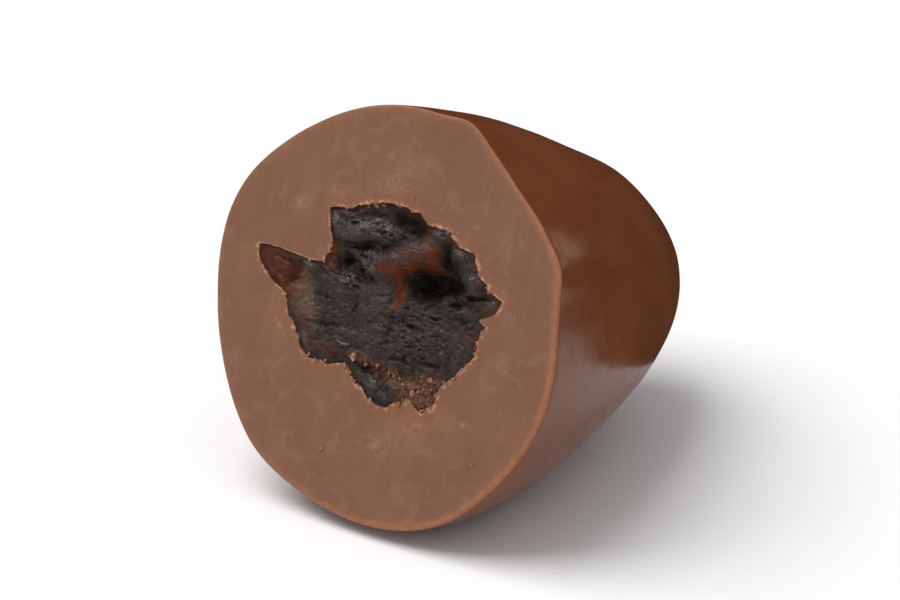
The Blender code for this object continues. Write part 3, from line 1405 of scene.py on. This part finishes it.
    # Painted shade in the creases and pores.
    crease_shade: float = 0.75
    crease_reach: float = 0.30
    pore_shade: float = 0.6
    tone_strays: tuple[Stray, ...] = (
        Stray(0.10, 0.45, (6.6, 13.1)),
        Stray(0.07, 0.14, (2.6, 5.1)),
    )
    form_edge: float = 3.0
    tone_edge: float = 3.2
    deep_edge: float = 2.4
    tones: tuple[tuple[Tone, tuple[Patch, ...]], ...] = (
        (Tone.DUSK, (
            Patch(-0.45, 0.45, 0.70, 0.90, 0, 1.0),
            Patch(-0.40, -0.60, 1.40, 0.65, 0, 0.9),
            Patch(-1.95, 0.10, 0.70, 0.65, -30, 0.8),
            Patch(-3.20, 0.85, 0.80, 0.28, -10, 1.0),
            Patch(1.20, 3.18, 0.50, 0.16, -8, 1.0),
            Patch(2.80, -0.20, 0.60, 0.80, 10, 0.8),
            Patch(-2.40, -1.30, 0.80, 0.50, -10, 0.5),
            Patch(2.12, 2.72, 0.22, 0.12, -35, 1.0),
        )),
        # Painted blue-grey sheen on the top lobe, valley and foot lobe; dark grey skin on the
        # right.
        (Tone.SLATE_AND_SHEEN, (
            Patch(-1.95, 2.38, 0.90, 0.32, 8, 1.0),
            Patch(-2.75, 2.60, 0.25, 0.25, 0, 0.9),
            Patch(-0.85, 2.85, 0.60, 0.25, 0, 0.8),
            Patch(2.75, 2.00, 0.40, 0.50, 20, 0.5),
            Patch(1.45, -0.60, 1.90, 1.10, 12, 0.35),
            Patch(-0.35, -2.15, 0.36, 0.20, -20, 0.9),
            Patch(-1.45, 1.20, 0.50, 0.70, 0, 0.6),
        )),
        (Tone.OLIVE, (
            Patch(-3.45, 0.15, 0.46, 0.46, 0, 1.0),
            Patch(-3.20, -0.45, 0.55, 0.45, 0, 0.65),
        )),
        (Tone.MAROON, (
            Patch(-4.60, 0.62, 1.05, 0.75, -32, 1.0),
            Patch(-2.55, 1.05, 0.50, 0.28, -40, 0.55),
            Patch(0.90, 1.80, 0.55, 0.16, 5, 1.0),
            Patch(1.70, 1.85, 0.40, 0.16, -20, 0.5),
            Patch(-4.05, 0.10, 0.35, 0.55, 10, 0.9),
            Patch(-2.95, -1.05, 0.35, 0.55, 35, 0.5),
            Patch(-1.95, -1.50, 0.60, 0.20, -5, 0.5),
            Patch(3.00, 0.15, 0.35, 0.35, 0, 0.35),
            Patch(3.55, 1.25, 0.50, 0.30, 20, 0.4),
            Patch(2.10, -1.35, 0.50, 0.25, 20, 0.4),
        )),
        (Tone.FLESH, (
            Patch(0.32, 2.12, 1.10, 0.40, 34, 1.0),
            Patch(0.92, 2.60, 0.36, 0.40, 0, 1.0),
        )),
        # Orange-red flesh at the pit's rim and thin edges, painted bright as a glow of light
        # through them.
        (Tone.EMBER_GLOW, (
            Patch(-0.35, 1.50, 0.52, 0.20, 8, 0.9),
            Patch(1.16, 2.36, 0.18, 0.34, 0, 1.0),
            Patch(0.14, 0.78, 0.13, 0.40, 16, 1.0),
            Patch(-0.02, 1.28, 0.14, 0.40, -4, 1.0),
            Patch(0.38, 1.78, 0.40, 0.13, 36, 1.0),
            Patch(1.02, 1.98, 0.42, 0.10, 0, 0.9),
            Patch(-2.66, 1.50, 0.36, 0.15, 62, 1.0),
            Patch(-4.08, -0.10, 0.22, 0.14, -20, 0.9),
            Patch(3.45, 0.08, 0.12, 0.18, 0, 0.8),
            Patch(-4.25, 0.20, 0.30, 0.10, -40, 0.45),
        )),
        (Tone.CRUMBLY, (
            Patch(1.60, -2.15, 0.80, 0.60, -10, 1.0),
            Patch(0.30, -1.70, 0.85, 0.28, -12, 1.0),
            Patch(-0.75, -1.55, 0.50, 0.16, -8, 0.9),
            Patch(1.95, -1.60, 0.50, 0.16, 8, 1.0),
            Patch(2.15, 2.68, 0.16, 0.08, -35, 0.9),
        )),
        # Painted shade in the pit, channels, crevices and pores, partly over the raisin's own
        # black.
        (Tone.DEEP_SHADE, (
            Patch(0.95, 1.25, 0.85, 0.46, 8, 1.0),
            Patch(1.85, 1.45, 0.70, 0.36, 10, 0.9),
            Patch(2.60, 1.20, 0.40, 0.12, 12, 0.7),
            Patch(1.62, 2.40, 0.24, 0.60, 6, 1.0),
            Patch(2.05, 2.10, 0.30, 0.30, 0, 0.8),
            Patch(0.10, 3.12, 0.85, 0.42, -12, 1.0),
            Patch(-0.55, 2.55, 0.50, 0.14, -10, 0.5),
            Patch(-1.60, 1.98, 0.80, 0.10, 7, 0.4),
            Patch(-0.60, 2.20, 0.40, 0.12, 30, 0.8),
            Patch(-2.20, 1.30, 0.16, 0.40, -20, 0.6),
            Patch(-0.55, -1.95, 0.40, 0.10, -35, 0.7),
            Patch(-4.02, -0.25, 0.16, 0.09, -20, 0.9),
            Patch(-2.95, 1.13, 0.16, 0.08, 20, 0.9),
            Patch(3.15, 1.45, 0.30, 0.09, 15, 0.9),
            Patch(2.80, 1.36, 0.24, 0.08, 5, 0.8),
            Patch(2.28, 0.98, 0.30, 0.09, 12, 0.8),
            Patch(2.80, 0.60, 0.20, 0.09, 20, 0.9),
            Patch(1.92, -1.05, 0.36, 0.06, 14, 0.7),
        )),
        (Tone.WET, (
            Patch(-1.10, 2.72, 0.85, 0.30, 0, 1.0),
            Patch(-1.30, 1.60, 0.55, 0.45, 0, 1.0),
            Patch(-1.75, 0.80, 0.30, 0.25, 0, 1.0),
            Patch(-3.50, 0.95, 0.40, 0.12, -15, 1.0),
            Patch(2.80, 2.10, 0.16, 0.10, 30, 1.0),
            Patch(3.60, 1.45, 0.16, 0.08, 20, 1.0),
            Patch(-1.60, -1.15, 0.35, 0.12, 0, 1.0),
            Patch(-2.80, 2.60, 0.30, 0.25, 0, 1.0),
            Patch(0.70, 2.00, 1.20, 0.60, 25, 0.2),
            Patch(-4.60, 0.75, 0.80, 0.50, -30, 0.4),
            Patch(-0.20, -2.12, 0.45, 0.20, -20, 1.0),
            Patch(0.35, -2.40, 0.16, 0.10, 0, 1.0),
            Patch(-3.00, -1.50, 0.30, 0.20, -40, 1.0),
            Patch(1.40, 3.15, 0.30, 0.20, 0, 1.0),
        )),
    )
    dull_tones: tuple[tuple[Tone, float], ...] = ((Tone.EMBER_GLOW, 0.8), (Tone.MAROON, 0.4))
    dull_from: tuple[float, float] = (0.22, 0.55)
    wet_from: float = 0.5
    # The shade and hollow finishes reflect less: painted shade in creases, pores and hollows, and
    # duller red flesh.
    finishes: tuple[FleshFinish, ...] = (
        FleshFinish("raisin_skin", 0.32),
        FleshFinish("raisin_shade", 0.22),
        FleshFinish("raisin_hollow_shade", 0.12),
        FleshFinish("raisin_wet", 0.75, 1.8),
    )
    seed: int = 11

    def pore_patches(self) -> list[Patch]:
        """Draws the small pores of its skin.

        Returns:
            The pores.
        """
        draw = random.Random(self.seed)
        found = []
        for count, field in self.pores:
            for _ in range(count):
                across, up = field.spot(draw)
                size = draw.uniform(*self.pore_sizes)
                length = size * draw.uniform(*self.pore_stretch)
                turn = field.turn + draw.uniform(-self.pore_turn, self.pore_turn)
                depth = field.depth * draw.uniform(*self.pore_depths)
                found.append(Patch(across, up, length, size * self.pore_width, turn, depth))
        return found

    def strayed(self, points: np.ndarray) -> np.ndarray:
        """Moves points a little, so that no hollow keeps a plain oval's edge."""
        return points + self.stray.move(points)

    def folds(self, points: np.ndarray) -> np.ndarray:
        """The fine folds of its skin, which are longer than they are wide.

        Args:
            points: Points on the plane, in mm.

        Returns:
            About 0 in a crease to 1 on a fold, for each point.
        """
        combed = self.strayed(points)
        combed[..., 0] = self.comb[0] * combed[..., 0] + self.comb[1] * combed[..., 2]
        return creased(combed, self.fold_size, 3, 3.3)

    def relief(self, points: np.ndarray, reach: np.ndarray) -> np.ndarray:
        """How deep the cut surface lies below the cut's plane.

        Args:
            points: Points on the plane, in mm.
            reach: How far out each lies, from 0 in the middle to 1 at the edge.

        Returns:
            The depth at each point, in mm.
        """
        strayed = self.strayed(points)
        across, up = strayed[..., 0], strayed[..., 2]
        depth = np.zeros(points.shape[:-1])
        for hollow in self.hollows + self.nicks:
            depth += hollow.depth * hollow.share(across, up)
        for pore in self.pore_patches():
            depth += pore.depth * pore.share(points[..., 0], points[..., 2])
        fold = self.fold_height + self.skin.depth * self.skin.share(across, up, self.form_edge)
        depth -= fold * (self.folds(points) - 0.5)
        depth -= self.crumple[0] * (creased(strayed, self.crumple[1], 3, 8.1) - 0.5)
        depth -= self.grain.height(points)
        lumps = creased(points, self.lumps[1], 2, 4.9) - 0.45
        for patch in dict(self.tones)[Tone.CRUMBLY]:
            share = patch.share(across, up, self.form_edge)
            depth -= self.lumps[0] * patch.depth * share * lumps
        inner = 1.0 - reach ** 8
        roll = self.roll[0] * reach ** 12 * (1.0 + self.roll[1] * rough(points, 0.5, 1.3))
        return depth * inner + roll

    def edge_stain(self, points: np.ndarray, reach: np.ndarray) -> np.ndarray:
        """The dark red of its thin edges, in stretches.

        Args:
            points: Points on the cut's plane, in mm.
            reach: How far out each lies, from 0 in the middle to 1 at the edge.

        Returns:
            Its strength at each point.
        """
        usual, varied = self.stain_breaks
        stretch = np.clip(usual + varied * rough(points, 0.9, 15.2), 0.0, 1.0)
        inward = self.stain[0] + self.stain[1] * rough(points, 0.3, 3.7)
        return self.stain_tone * stretch * np.exp(-(((1.0 - reach) / inward) ** 2))

    def tone_masks(self, points: np.ndarray, reach: np.ndarray) -> dict[Tone, np.ndarray]:
        """The strength of each tone on the cut surface.

        Args:
            points: Points on the cut's plane, in mm.
            reach: How far out each lies, from 0 in the middle to 1 at the edge.

        Returns:
            One mask for each tone.
        """
        strayed = points
        for stray in self.tone_strays:
            strayed = strayed + stray.move(points)
        masks: dict[Tone, np.ndarray] = {Tone.MAROON: self.edge_stain(points, reach)}
        for tone, patches in self.tones:
            firm = self.deep_edge if tone is Tone.DEEP_SHADE else self.tone_edge
            for patch in patches:
                share = patch.depth * patch.share(strayed[..., 0], strayed[..., 2], firm)
                masks[tone] = np.maximum(masks.get(tone, 0.0), share)
        # Painted shade in the pores and in the creases between folds.
        for pore in self.pore_patches():
            share = self.pore_shade * pore.share(points[..., 0], points[..., 2])
            masks[Tone.DEEP_SHADE] = np.maximum(masks[Tone.DEEP_SHADE], share)
        creases = np.clip(1.0 - self.folds(points) / self.crease_reach, 0.0, 1.0)
        masks[Tone.DEEP_SHADE] = np.maximum(masks[Tone.DEEP_SHADE], self.crease_shade * creases)
        return masks

    def glosses(self, mesh: bpy.types.Mesh, masks: dict[Tone, np.ndarray]) -> list[int]:
        """Chooses a finish for each face from the tones at its corners.

        Args:
            mesh: The raisin's mesh.
            masks: The strength of each tone, ring by ring.

        Returns:
            Each face's material slot.
        """
        # Faces in the painted shade of hollows, pores and creases reflect less; the red tones dull
        # theirs too.
        dull = masks[Tone.DEEP_SHADE]
        for tone, share in self.dull_tones:
            dull = np.maximum(dull, share * masks[tone])
        poles = [0.0, 0.0]
        dull = np.concatenate([dull.ravel(), poles])
        wet = np.concatenate([masks[Tone.WET].ravel(), poles])
        shade, hollow = self.dull_from
        found = []
        for face in mesh.polygons:
            corners = list(face.vertices)
            dullness = dull[corners].mean()
            if dullness > hollow:
                found.append(Gloss.HOLLOW_SHADE.value)
            elif dullness > shade:
                found.append(Gloss.SHADE.value)
            elif wet[corners].mean() > self.wet_from:
                found.append(Gloss.WET.value)
            else:
                found.append(Gloss.SKIN.value)
        return found

    def build(
        self, outline: RaisinOutline, coat: ChocolateHalf, axes: SweetAxes
    ) -> bpy.types.Mesh:
        """Makes the mesh, from the end inside the chocolate to the cut's middle.

        Args:
            outline: Its section.
            coat: The chocolate round it, which it leans with.
            axes: Where the sweet lies.

        Returns:
            The mesh in the row frame, with its tones.
        """
        angle = np.arange(self.sides) * TAU / self.sides
        ray = spokes(angle)
        middle = outline.centre()
        rings, flats, reaches = [], [], []
        for step in range(1, self.body_rings + 1):
            share = math.cos(QUARTER * step / self.body_rings)
            points = middle + ray * outline.radius(angle, share)[:, None]
            flats.append(points)
            rings.append(points + coat.leant(self.depth * share))
            reaches.append(1.0)
        edge = outline.radius(angle, 0.0)
        for step in range(1, self.cut_rings + 1):
            reach = 1.0 - step / (self.cut_rings + 1.0)
            points = middle + ray * (edge * reach)[:, None]
            flats.append(points.copy())
            points[:, 1] = self.relief(points, np.full(self.sides, reach))
            rings.append(points)
            reaches.append(reach)
        far, near = middle + coat.leant(self.depth), rings[-1].mean(axis=0)
        mesh = loft(
            "raisin_flesh", axes.place(np.array(rings)), axes.place(far), axes.place(near))
        outs = np.repeat(np.array(reaches)[:, None], self.sides, axis=1)
        masks = self.tone_masks(np.array(flats), outs)
        for tone, mask in masks.items():
            set_tone(mesh, tone, np.concatenate([mask.ravel(), [0.0, mask[-1].mean()]]))
        mesh.polygons.foreach_set("material_index", self.glosses(mesh, masks))
        return mesh

    def dress(self, mesh: bpy.types.Mesh) -> bpy.types.Object:
        """Adds the piece, its finishes and its place in the frame.

        Args:
            mesh: Its mesh.

        Returns:
            The piece.
        """
        for finish in self.finishes:
            mesh.materials.append(finish.material())
        close_outward(mesh)
        piece = add_piece("raisin_flesh", mesh)
        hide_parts("raisin")
        return piece


@dataclass(frozen=True)
class CutCrumbs:
    """Crumbs that the knife left on the cut, round the raisin and along its foot.

    Args:
        strewn: How many lie about the cut.
        edging: How many lie along the raisin's edge.
        foot: The ovals of crumbly flesh, each with how many crumbs lie on it.
        cover: Where the strewn crumbs lie, as shares of the cut's area from its middle.
        sizes: The smallest and largest crumb, in mm.
        smallness: How much the small crumbs outnumber the large; 1 is evenly.
        edge_band: How far inside and outside the raisin's edge its crumbs lie, in mm.
        clearance: How far from that edge the strewn crumbs stay, in mm.
        scales: How large the strewn, edging and foot crumbs are beside the sizes.
        lengths: How long a crumb is for its size, at least and at most.
        thicknesses: How thick a crumb is for its size, at least and at most.
        lumpiness: How uneven a crumb is, as a share of its size.
        lump_size: How far apart its bumps are, as a share of its size.
        shuffle: How far apart the crumbs are in the noise, at most, so that all differ.
        sunk: How far a crumb is sunk, as a share of its size.
        seed: What the random draws start from.
    """

    strewn: int = 22
    edging: int = 70
    foot: tuple[tuple[int, Patch], ...] = (
        (18, Patch(1.65, -2.10, 0.70, 0.50, -10, 0.0)),
        (24, Patch(0.35, -1.72, 0.75, 0.16, -12, 0.0)),
        (16, Patch(-0.75, -1.55, 0.45, 0.12, -8, 0.0)),
        (6, Patch(1.95, -1.60, 0.45, 0.10, 8, 0.0)),
        (7, Patch(2.95, 2.35, 0.30, 0.10, -40, 0.0)),
        (5, Patch(3.45, -0.05, 0.10, 0.30, 0, 0.0)),
        (5, Patch(3.45, 1.90, 0.25, 0.08, -50, 0.0)),
        (5, Patch(-2.98, 2.10, 0.06, 0.35, 0, 0.0)),
        (6, Patch(-1.50, 3.42, 0.60, 0.06, 8, 0.0)),
    )
    cover: tuple[float, float] = (0.05, 0.86)
    sizes: tuple[float, float] = (0.012, 0.075)
    smallness: float = 2.6
    edge_band: tuple[float, float] = (-0.05, 0.07)
    clearance: float = 0.15
    scales: tuple[float, float, float] = (0.7, 0.8, 1.25)
    lengths: tuple[float, float] = (0.8, 1.8)
    thicknesses: tuple[float, float] = (0.4, 0.8)
    lumpiness: float = 0.6
    lump_size: float = 0.7
    shuffle: float = 50.0
    sunk: float = 0.2
    seed: int = 7

    def draw_size(self, draw: random.Random) -> float:
        """Draws a crumb's size in mm; small crumbs are the most."""
        low, high = self.sizes
        return low + (high - low) * draw.random() ** self.smallness

    def places(
        self, outline: RaisinOutline, coat: ChocolateHalf, raisin: Raisin
    ) -> list[tuple[float, float, float, float]]:
        """Draws where every crumb lies.

        Args:
            outline: The raisin's section, whose edge some of them follow.
            coat: The chocolate, whose cut they lie on.
            raisin: The raisin, whose foot they lie on.

        Returns:
            Places across, into and up the cut, and sizes, in mm.
        """
        draw = random.Random(self.seed)
        strewn, edging, foot = self.scales
        found = []
        while len(found) < self.strewn:
            angle = draw.uniform(0.0, TAU)
            radius = coat.cut_radius * math.sqrt(draw.uniform(*self.cover))
            across, up = radius * math.cos(angle), radius * math.sin(angle)
            reach, edge = outline.distances(across, up)
            if reach > edge + self.clearance:
                found.append((across, 0.0, up, strewn * self.draw_size(draw)))
        for _ in range(self.edging):
            angle = draw.uniform(-math.pi, math.pi)
            radius = outline.edge_at(angle) + draw.uniform(*self.edge_band)
            across = outline.middle[0] + radius * math.cos(angle)
            up = outline.middle[1] + radius * math.sin(angle)
            found.append((across, 0.0, up, edging * self.draw_size(draw)))
        for count, patch in self.foot:
            for _ in range(count):
                across, up = patch.spot(draw)
                reach, edge = outline.distances(across, up)
                share = np.array([min(reach / edge, 1.0)])
                depth = raisin.relief(np.array([[across, 0.0, up]]), share)[0]
                found.append((across, depth, up, foot * self.draw_size(draw)))
        return found

    def build(
        self, outline: RaisinOutline, coat: ChocolateHalf, raisin: Raisin, axes: SweetAxes
    ) -> bpy.types.Mesh:
        """Makes all the crumbs as one mesh of closed lumps.

        Args:
            outline: The raisin's section.
            coat: The chocolate round it.
            raisin: The raisin.
            axes: Where the sweet lies.

        Returns:
            The mesh in the row frame.
        """
        draw = random.Random(self.seed + 1)
        shape = bmesh.new()
        for across, into, up, size in self.places(outline, coat, raisin):
            lump = bmesh.ops.create_icosphere(shape, subdivisions=2, radius=size)["verts"]
            stretch = Vector((draw.uniform(*self.lengths), draw.uniform(*self.thicknesses), 1.0))
            spin = Matrix.Rotation(draw.uniform(0.0, TAU), 3, "Y")
            shift = Vector((draw.uniform(0.0, self.shuffle), 0.0, 0.0))
            for vertex in lump:
                spot = vertex.co / (size * self.lump_size) + shift
                bump = 1.0 + self.lumpiness * noise.noise(spot)
                local = spin @ (vertex.co * bump * stretch)
                vertex.co = local + Vector((across, into - self.sunk * size, up))
        placed = axes.matrix()
        for vertex in shape.verts:
            vertex.co = (placed @ vertex.co) * MM
        mesh = bpy.data.meshes.new("cut_crumbs")
        shape.to_mesh(mesh)
        shape.free()
        mesh.shade_smooth()
        return mesh

    def dress(self, mesh: bpy.types.Mesh) -> bpy.types.Object:
        """Adds the piece, its finish and its place in the frame.

        Args:
            mesh: Its mesh.

        Returns:
            The piece.
        """
        mesh.materials.append(CrumbFinish().material())
        return add_piece("cut_crumbs", mesh)


@dataclass(frozen=True)
class SoftBox:
    """A soft square light, aimed at the sweet.

    Args:
        name: Its name.
        azimuth: Its direction round the sweet, in degrees, as the camera's is.
        elevation: Its height above the horizon, in degrees.
        distance: How far away it is, in metres.
        size: Its width and height, in metres.
        power: Its power, in watts.
        colour: Its colour.
    """

    name: str
    azimuth: float
    elevation: float
    distance: float
    size: tuple[float, float]
    power: float
    colour: Colour = (1.0, 1.0, 1.0)


def towards(azimuth: float, elevation: float) -> Vector:
    """The direction from the sweet to a viewer.

    Args:
        azimuth: 0 for a viewer who looks along +Y, 90 for one who looks along -X.
        elevation: The height above the horizon, in degrees.

    Returns:
        A unit vector.
    """
    turn, lift = math.radians(azimuth), math.radians(elevation)
    return Vector((
        math.sin(turn) * math.cos(lift), -math.cos(turn) * math.cos(lift), math.sin(lift)))


@dataclass(frozen=True)
class Card:
    """An upright, bent card that shows in reflections alone.

    Args:
        name: Its name.
        foot: The line that its lower edge follows on the floor, in mm.
        low: How high its lower edge is, in mm.
        high: How high its upper edge is, in mm.
        glow: The light it sends out.
    """

    name: str
    foot: tuple[tuple[float, float], ...]
    low: float
    high: float
    glow: Colour

    def stand(self) -> bpy.types.Object:
        """Adds the card to the scene.

        Returns:
            The card.
        """
        points = [Vector((x, y, z)) * MM for x, y in self.foot for z in (self.low, self.high)]
        faces = [(k, k + 1, k + 3, k + 2) for k in range(0, len(points) - 2, 2)]
        mesh = bpy.data.meshes.new(self.name)
        mesh.from_pydata(points, [], faces)
        look = NodeMaterial(self.name)
        look.constant("Base Color", (0.0, 0.0, 0.0, 1.0))
        look.constant("Specular IOR Level", 0.0)
        look.constant("Emission Color", (*self.glow, 1.0))
        look.constant("Emission Strength", 1.0)
        mesh.materials.append(look.material)
        card = into_scene(self.name, mesh)
        card.visible_camera = False
        card.visible_diffuse = False
        card.visible_shadow = False
        card.visible_transmission = False
        return card


@dataclass(frozen=True)
class Studio:
    """The plain floor, the lights, the cards and the camera.

    Args:
        floor_width: The floor's width, in metres.
        floor_colour: The floor's colour.
        floor_dimness: How much darker its faint clouds are, as a share.
        sky: The brightness all round.
        lights: The soft lights.
        cards: The cards that the satin side reflects.
        azimuth: The camera's direction round the sweet, in degrees.
        elevation: The camera's height above the horizon, in degrees.
        distance: How far the camera is from the cut, in metres.
        lens: Its focal length, in mm.
        sensor: Its sensor's width, in mm.
        clip: The nearest and farthest that it sees, in metres.
        aim: How far the aim lies from the box's middle, right and up in the view, in mm.
    """

    floor_width: float = 3.0
    floor_colour: Colour = (0.86, 0.86, 0.86)
    floor_dimness: float = 0.015
    sky: float = 0.54
    lights: tuple[SoftBox, ...] = (
        SoftBox("key", -66.0, 64.0, 0.5, (0.40, 0.40), 2.4),
    )
    cards: tuple[Card, ...] = (
        Card(
            "card_dark",
            ((-26.0, 18.0), (-3.0, 11.0), (2.5, 9.9), (4.8, 9.2), (7.8, 9.5), (9.5, 10.3),
             (12.1, 12.5), (15.9, 18.0), (44.0, 28.0), (90.0, 30.0)),
            0.0, 26.0, (0.040, 0.017, 0.009)),
        Card(
            "card_glow", ((6.0, 9.0), (9.5, 10.1), (13.4, 13.6), (16.5, 17.5)),
            9.8, 12.4, (0.95, 0.74, 0.60)),
    )
    azimuth: float = 35.4
    elevation: float = 27.0
    distance: float = 0.2794
    lens: float = 350.0
    sensor: float = 36.0
    clip: tuple[float, float] = (0.01, 10.0)
    aim: tuple[float, float] = (-0.9, -1.26)

    def lay_floor(self) -> bpy.types.Object:
        """Adds the floor that the sweet stands on.

        Returns:
            The floor.
        """
        bpy.ops.mesh.primitive_plane_add(size=self.floor_width)
        floor = bpy.context.object
        floor.name = "floor"
        look = NodeMaterial("floor")
        cloud = look.ranged(look.grain(30.0, 2.0), 0.3, 0.7, 0.0, 1.0)
        dim = tuple((1.0 - self.floor_dimness) * part for part in self.floor_colour)
        look.feed("Base Color", look.blend(cloud, dim, self.floor_colour))
        look.constant("Roughness", 0.7)
        look.constant("Specular IOR Level", 0.2)
        floor.data.materials.append(look.material)
        return floor

    def hang_light(self, box: SoftBox, target: Vector) -> bpy.types.Object:
        """Adds one soft light.

        Args:
            box: The light's sizes.
            target: What it is aimed at.

        Returns:
            The light's object.
        """
        lamp = bpy.data.lights.new(box.name, "AREA")
        lamp.shape = "RECTANGLE"
        lamp.size, lamp.size_y = box.size
        lamp.energy = box.power
        lamp.color = box.colour
        light = into_scene(box.name, lamp)
        back = towards(box.azimuth, box.elevation)
        light.location = target + back * box.distance
        light.rotation_mode = "QUATERNION"
        light.rotation_quaternion = (-back).to_track_quat("-Z", "Y")
        return light

    def fill_sky(self) -> None:
        """Sets the even light from all round."""
        world = bpy.data.worlds.new("studio")
        world.use_nodes = True
        world.node_tree.nodes["Background"].inputs["Color"].default_value = (
            self.sky, self.sky, self.sky, 1.0)
        bpy.context.scene.world = world

    def set_camera(self, cut_middle: Vector, centre: Vector) -> bpy.types.Object:
        """Adds the camera.

        Args:
            cut_middle: The cut's middle in the row frame, in metres.
            centre: The middle of the sweet's box, in metres.

        Returns:
            The camera's object.
        """
        back = towards(self.azimuth, self.elevation)
        camera = into_scene("camera", bpy.data.cameras.new("camera"))
        camera.data.lens = self.lens
        camera.data.sensor_width = self.sensor
        camera.data.clip_start, camera.data.clip_end = self.clip
        camera.location = cut_middle + back * self.distance
        right = Vector((0.0, 0.0, 1.0)).cross(back).normalized()
        up = back.cross(right)
        target = centre + (right * self.aim[0] + up * self.aim[1]) * MM
        camera.rotation_mode = "QUATERNION"
        camera.rotation_quaternion = (target - camera.location).to_track_quat("-Z", "Y")
        bpy.context.scene.camera = camera
        return camera

    def set_up(self, axes: SweetAxes) -> None:
        """Builds the whole studio round the sweet.

        Args:
            axes: Where the sweet lies.
        """
        low, high = CAD_BOX
        centre = (low + high) / 2.0
        self.lay_floor()
        for box in self.lights:
            self.hang_light(box, centre)
        for card in self.cards:
            card.stand()
        self.fill_sky()
        self.set_camera(Vector(axes.middle) * MM, centre)
        bpy.context.scene.view_settings.view_transform = "Standard"
        LOG.info("studio: %d lights, %d cards", len(self.lights), len(self.cards))


def main() -> None:
    """Builds the sweet's pieces and the studio in order."""
    logging.basicConfig(level=logging.INFO, format="%(name)s: %(message)s")
    axes = SweetAxes()
    outline = RaisinOutline()
    coat = ChocolateHalf()
    coat.dress(coat.build(outline, axes))
    raisin = Raisin()
    raisin.dress(raisin.build(outline, coat, axes))
    crumbs = CutCrumbs()
    crumbs.dress(crumbs.build(outline, coat, raisin, axes))
    Studio().set_up(axes)


if __name__ == "__main__":
    main()
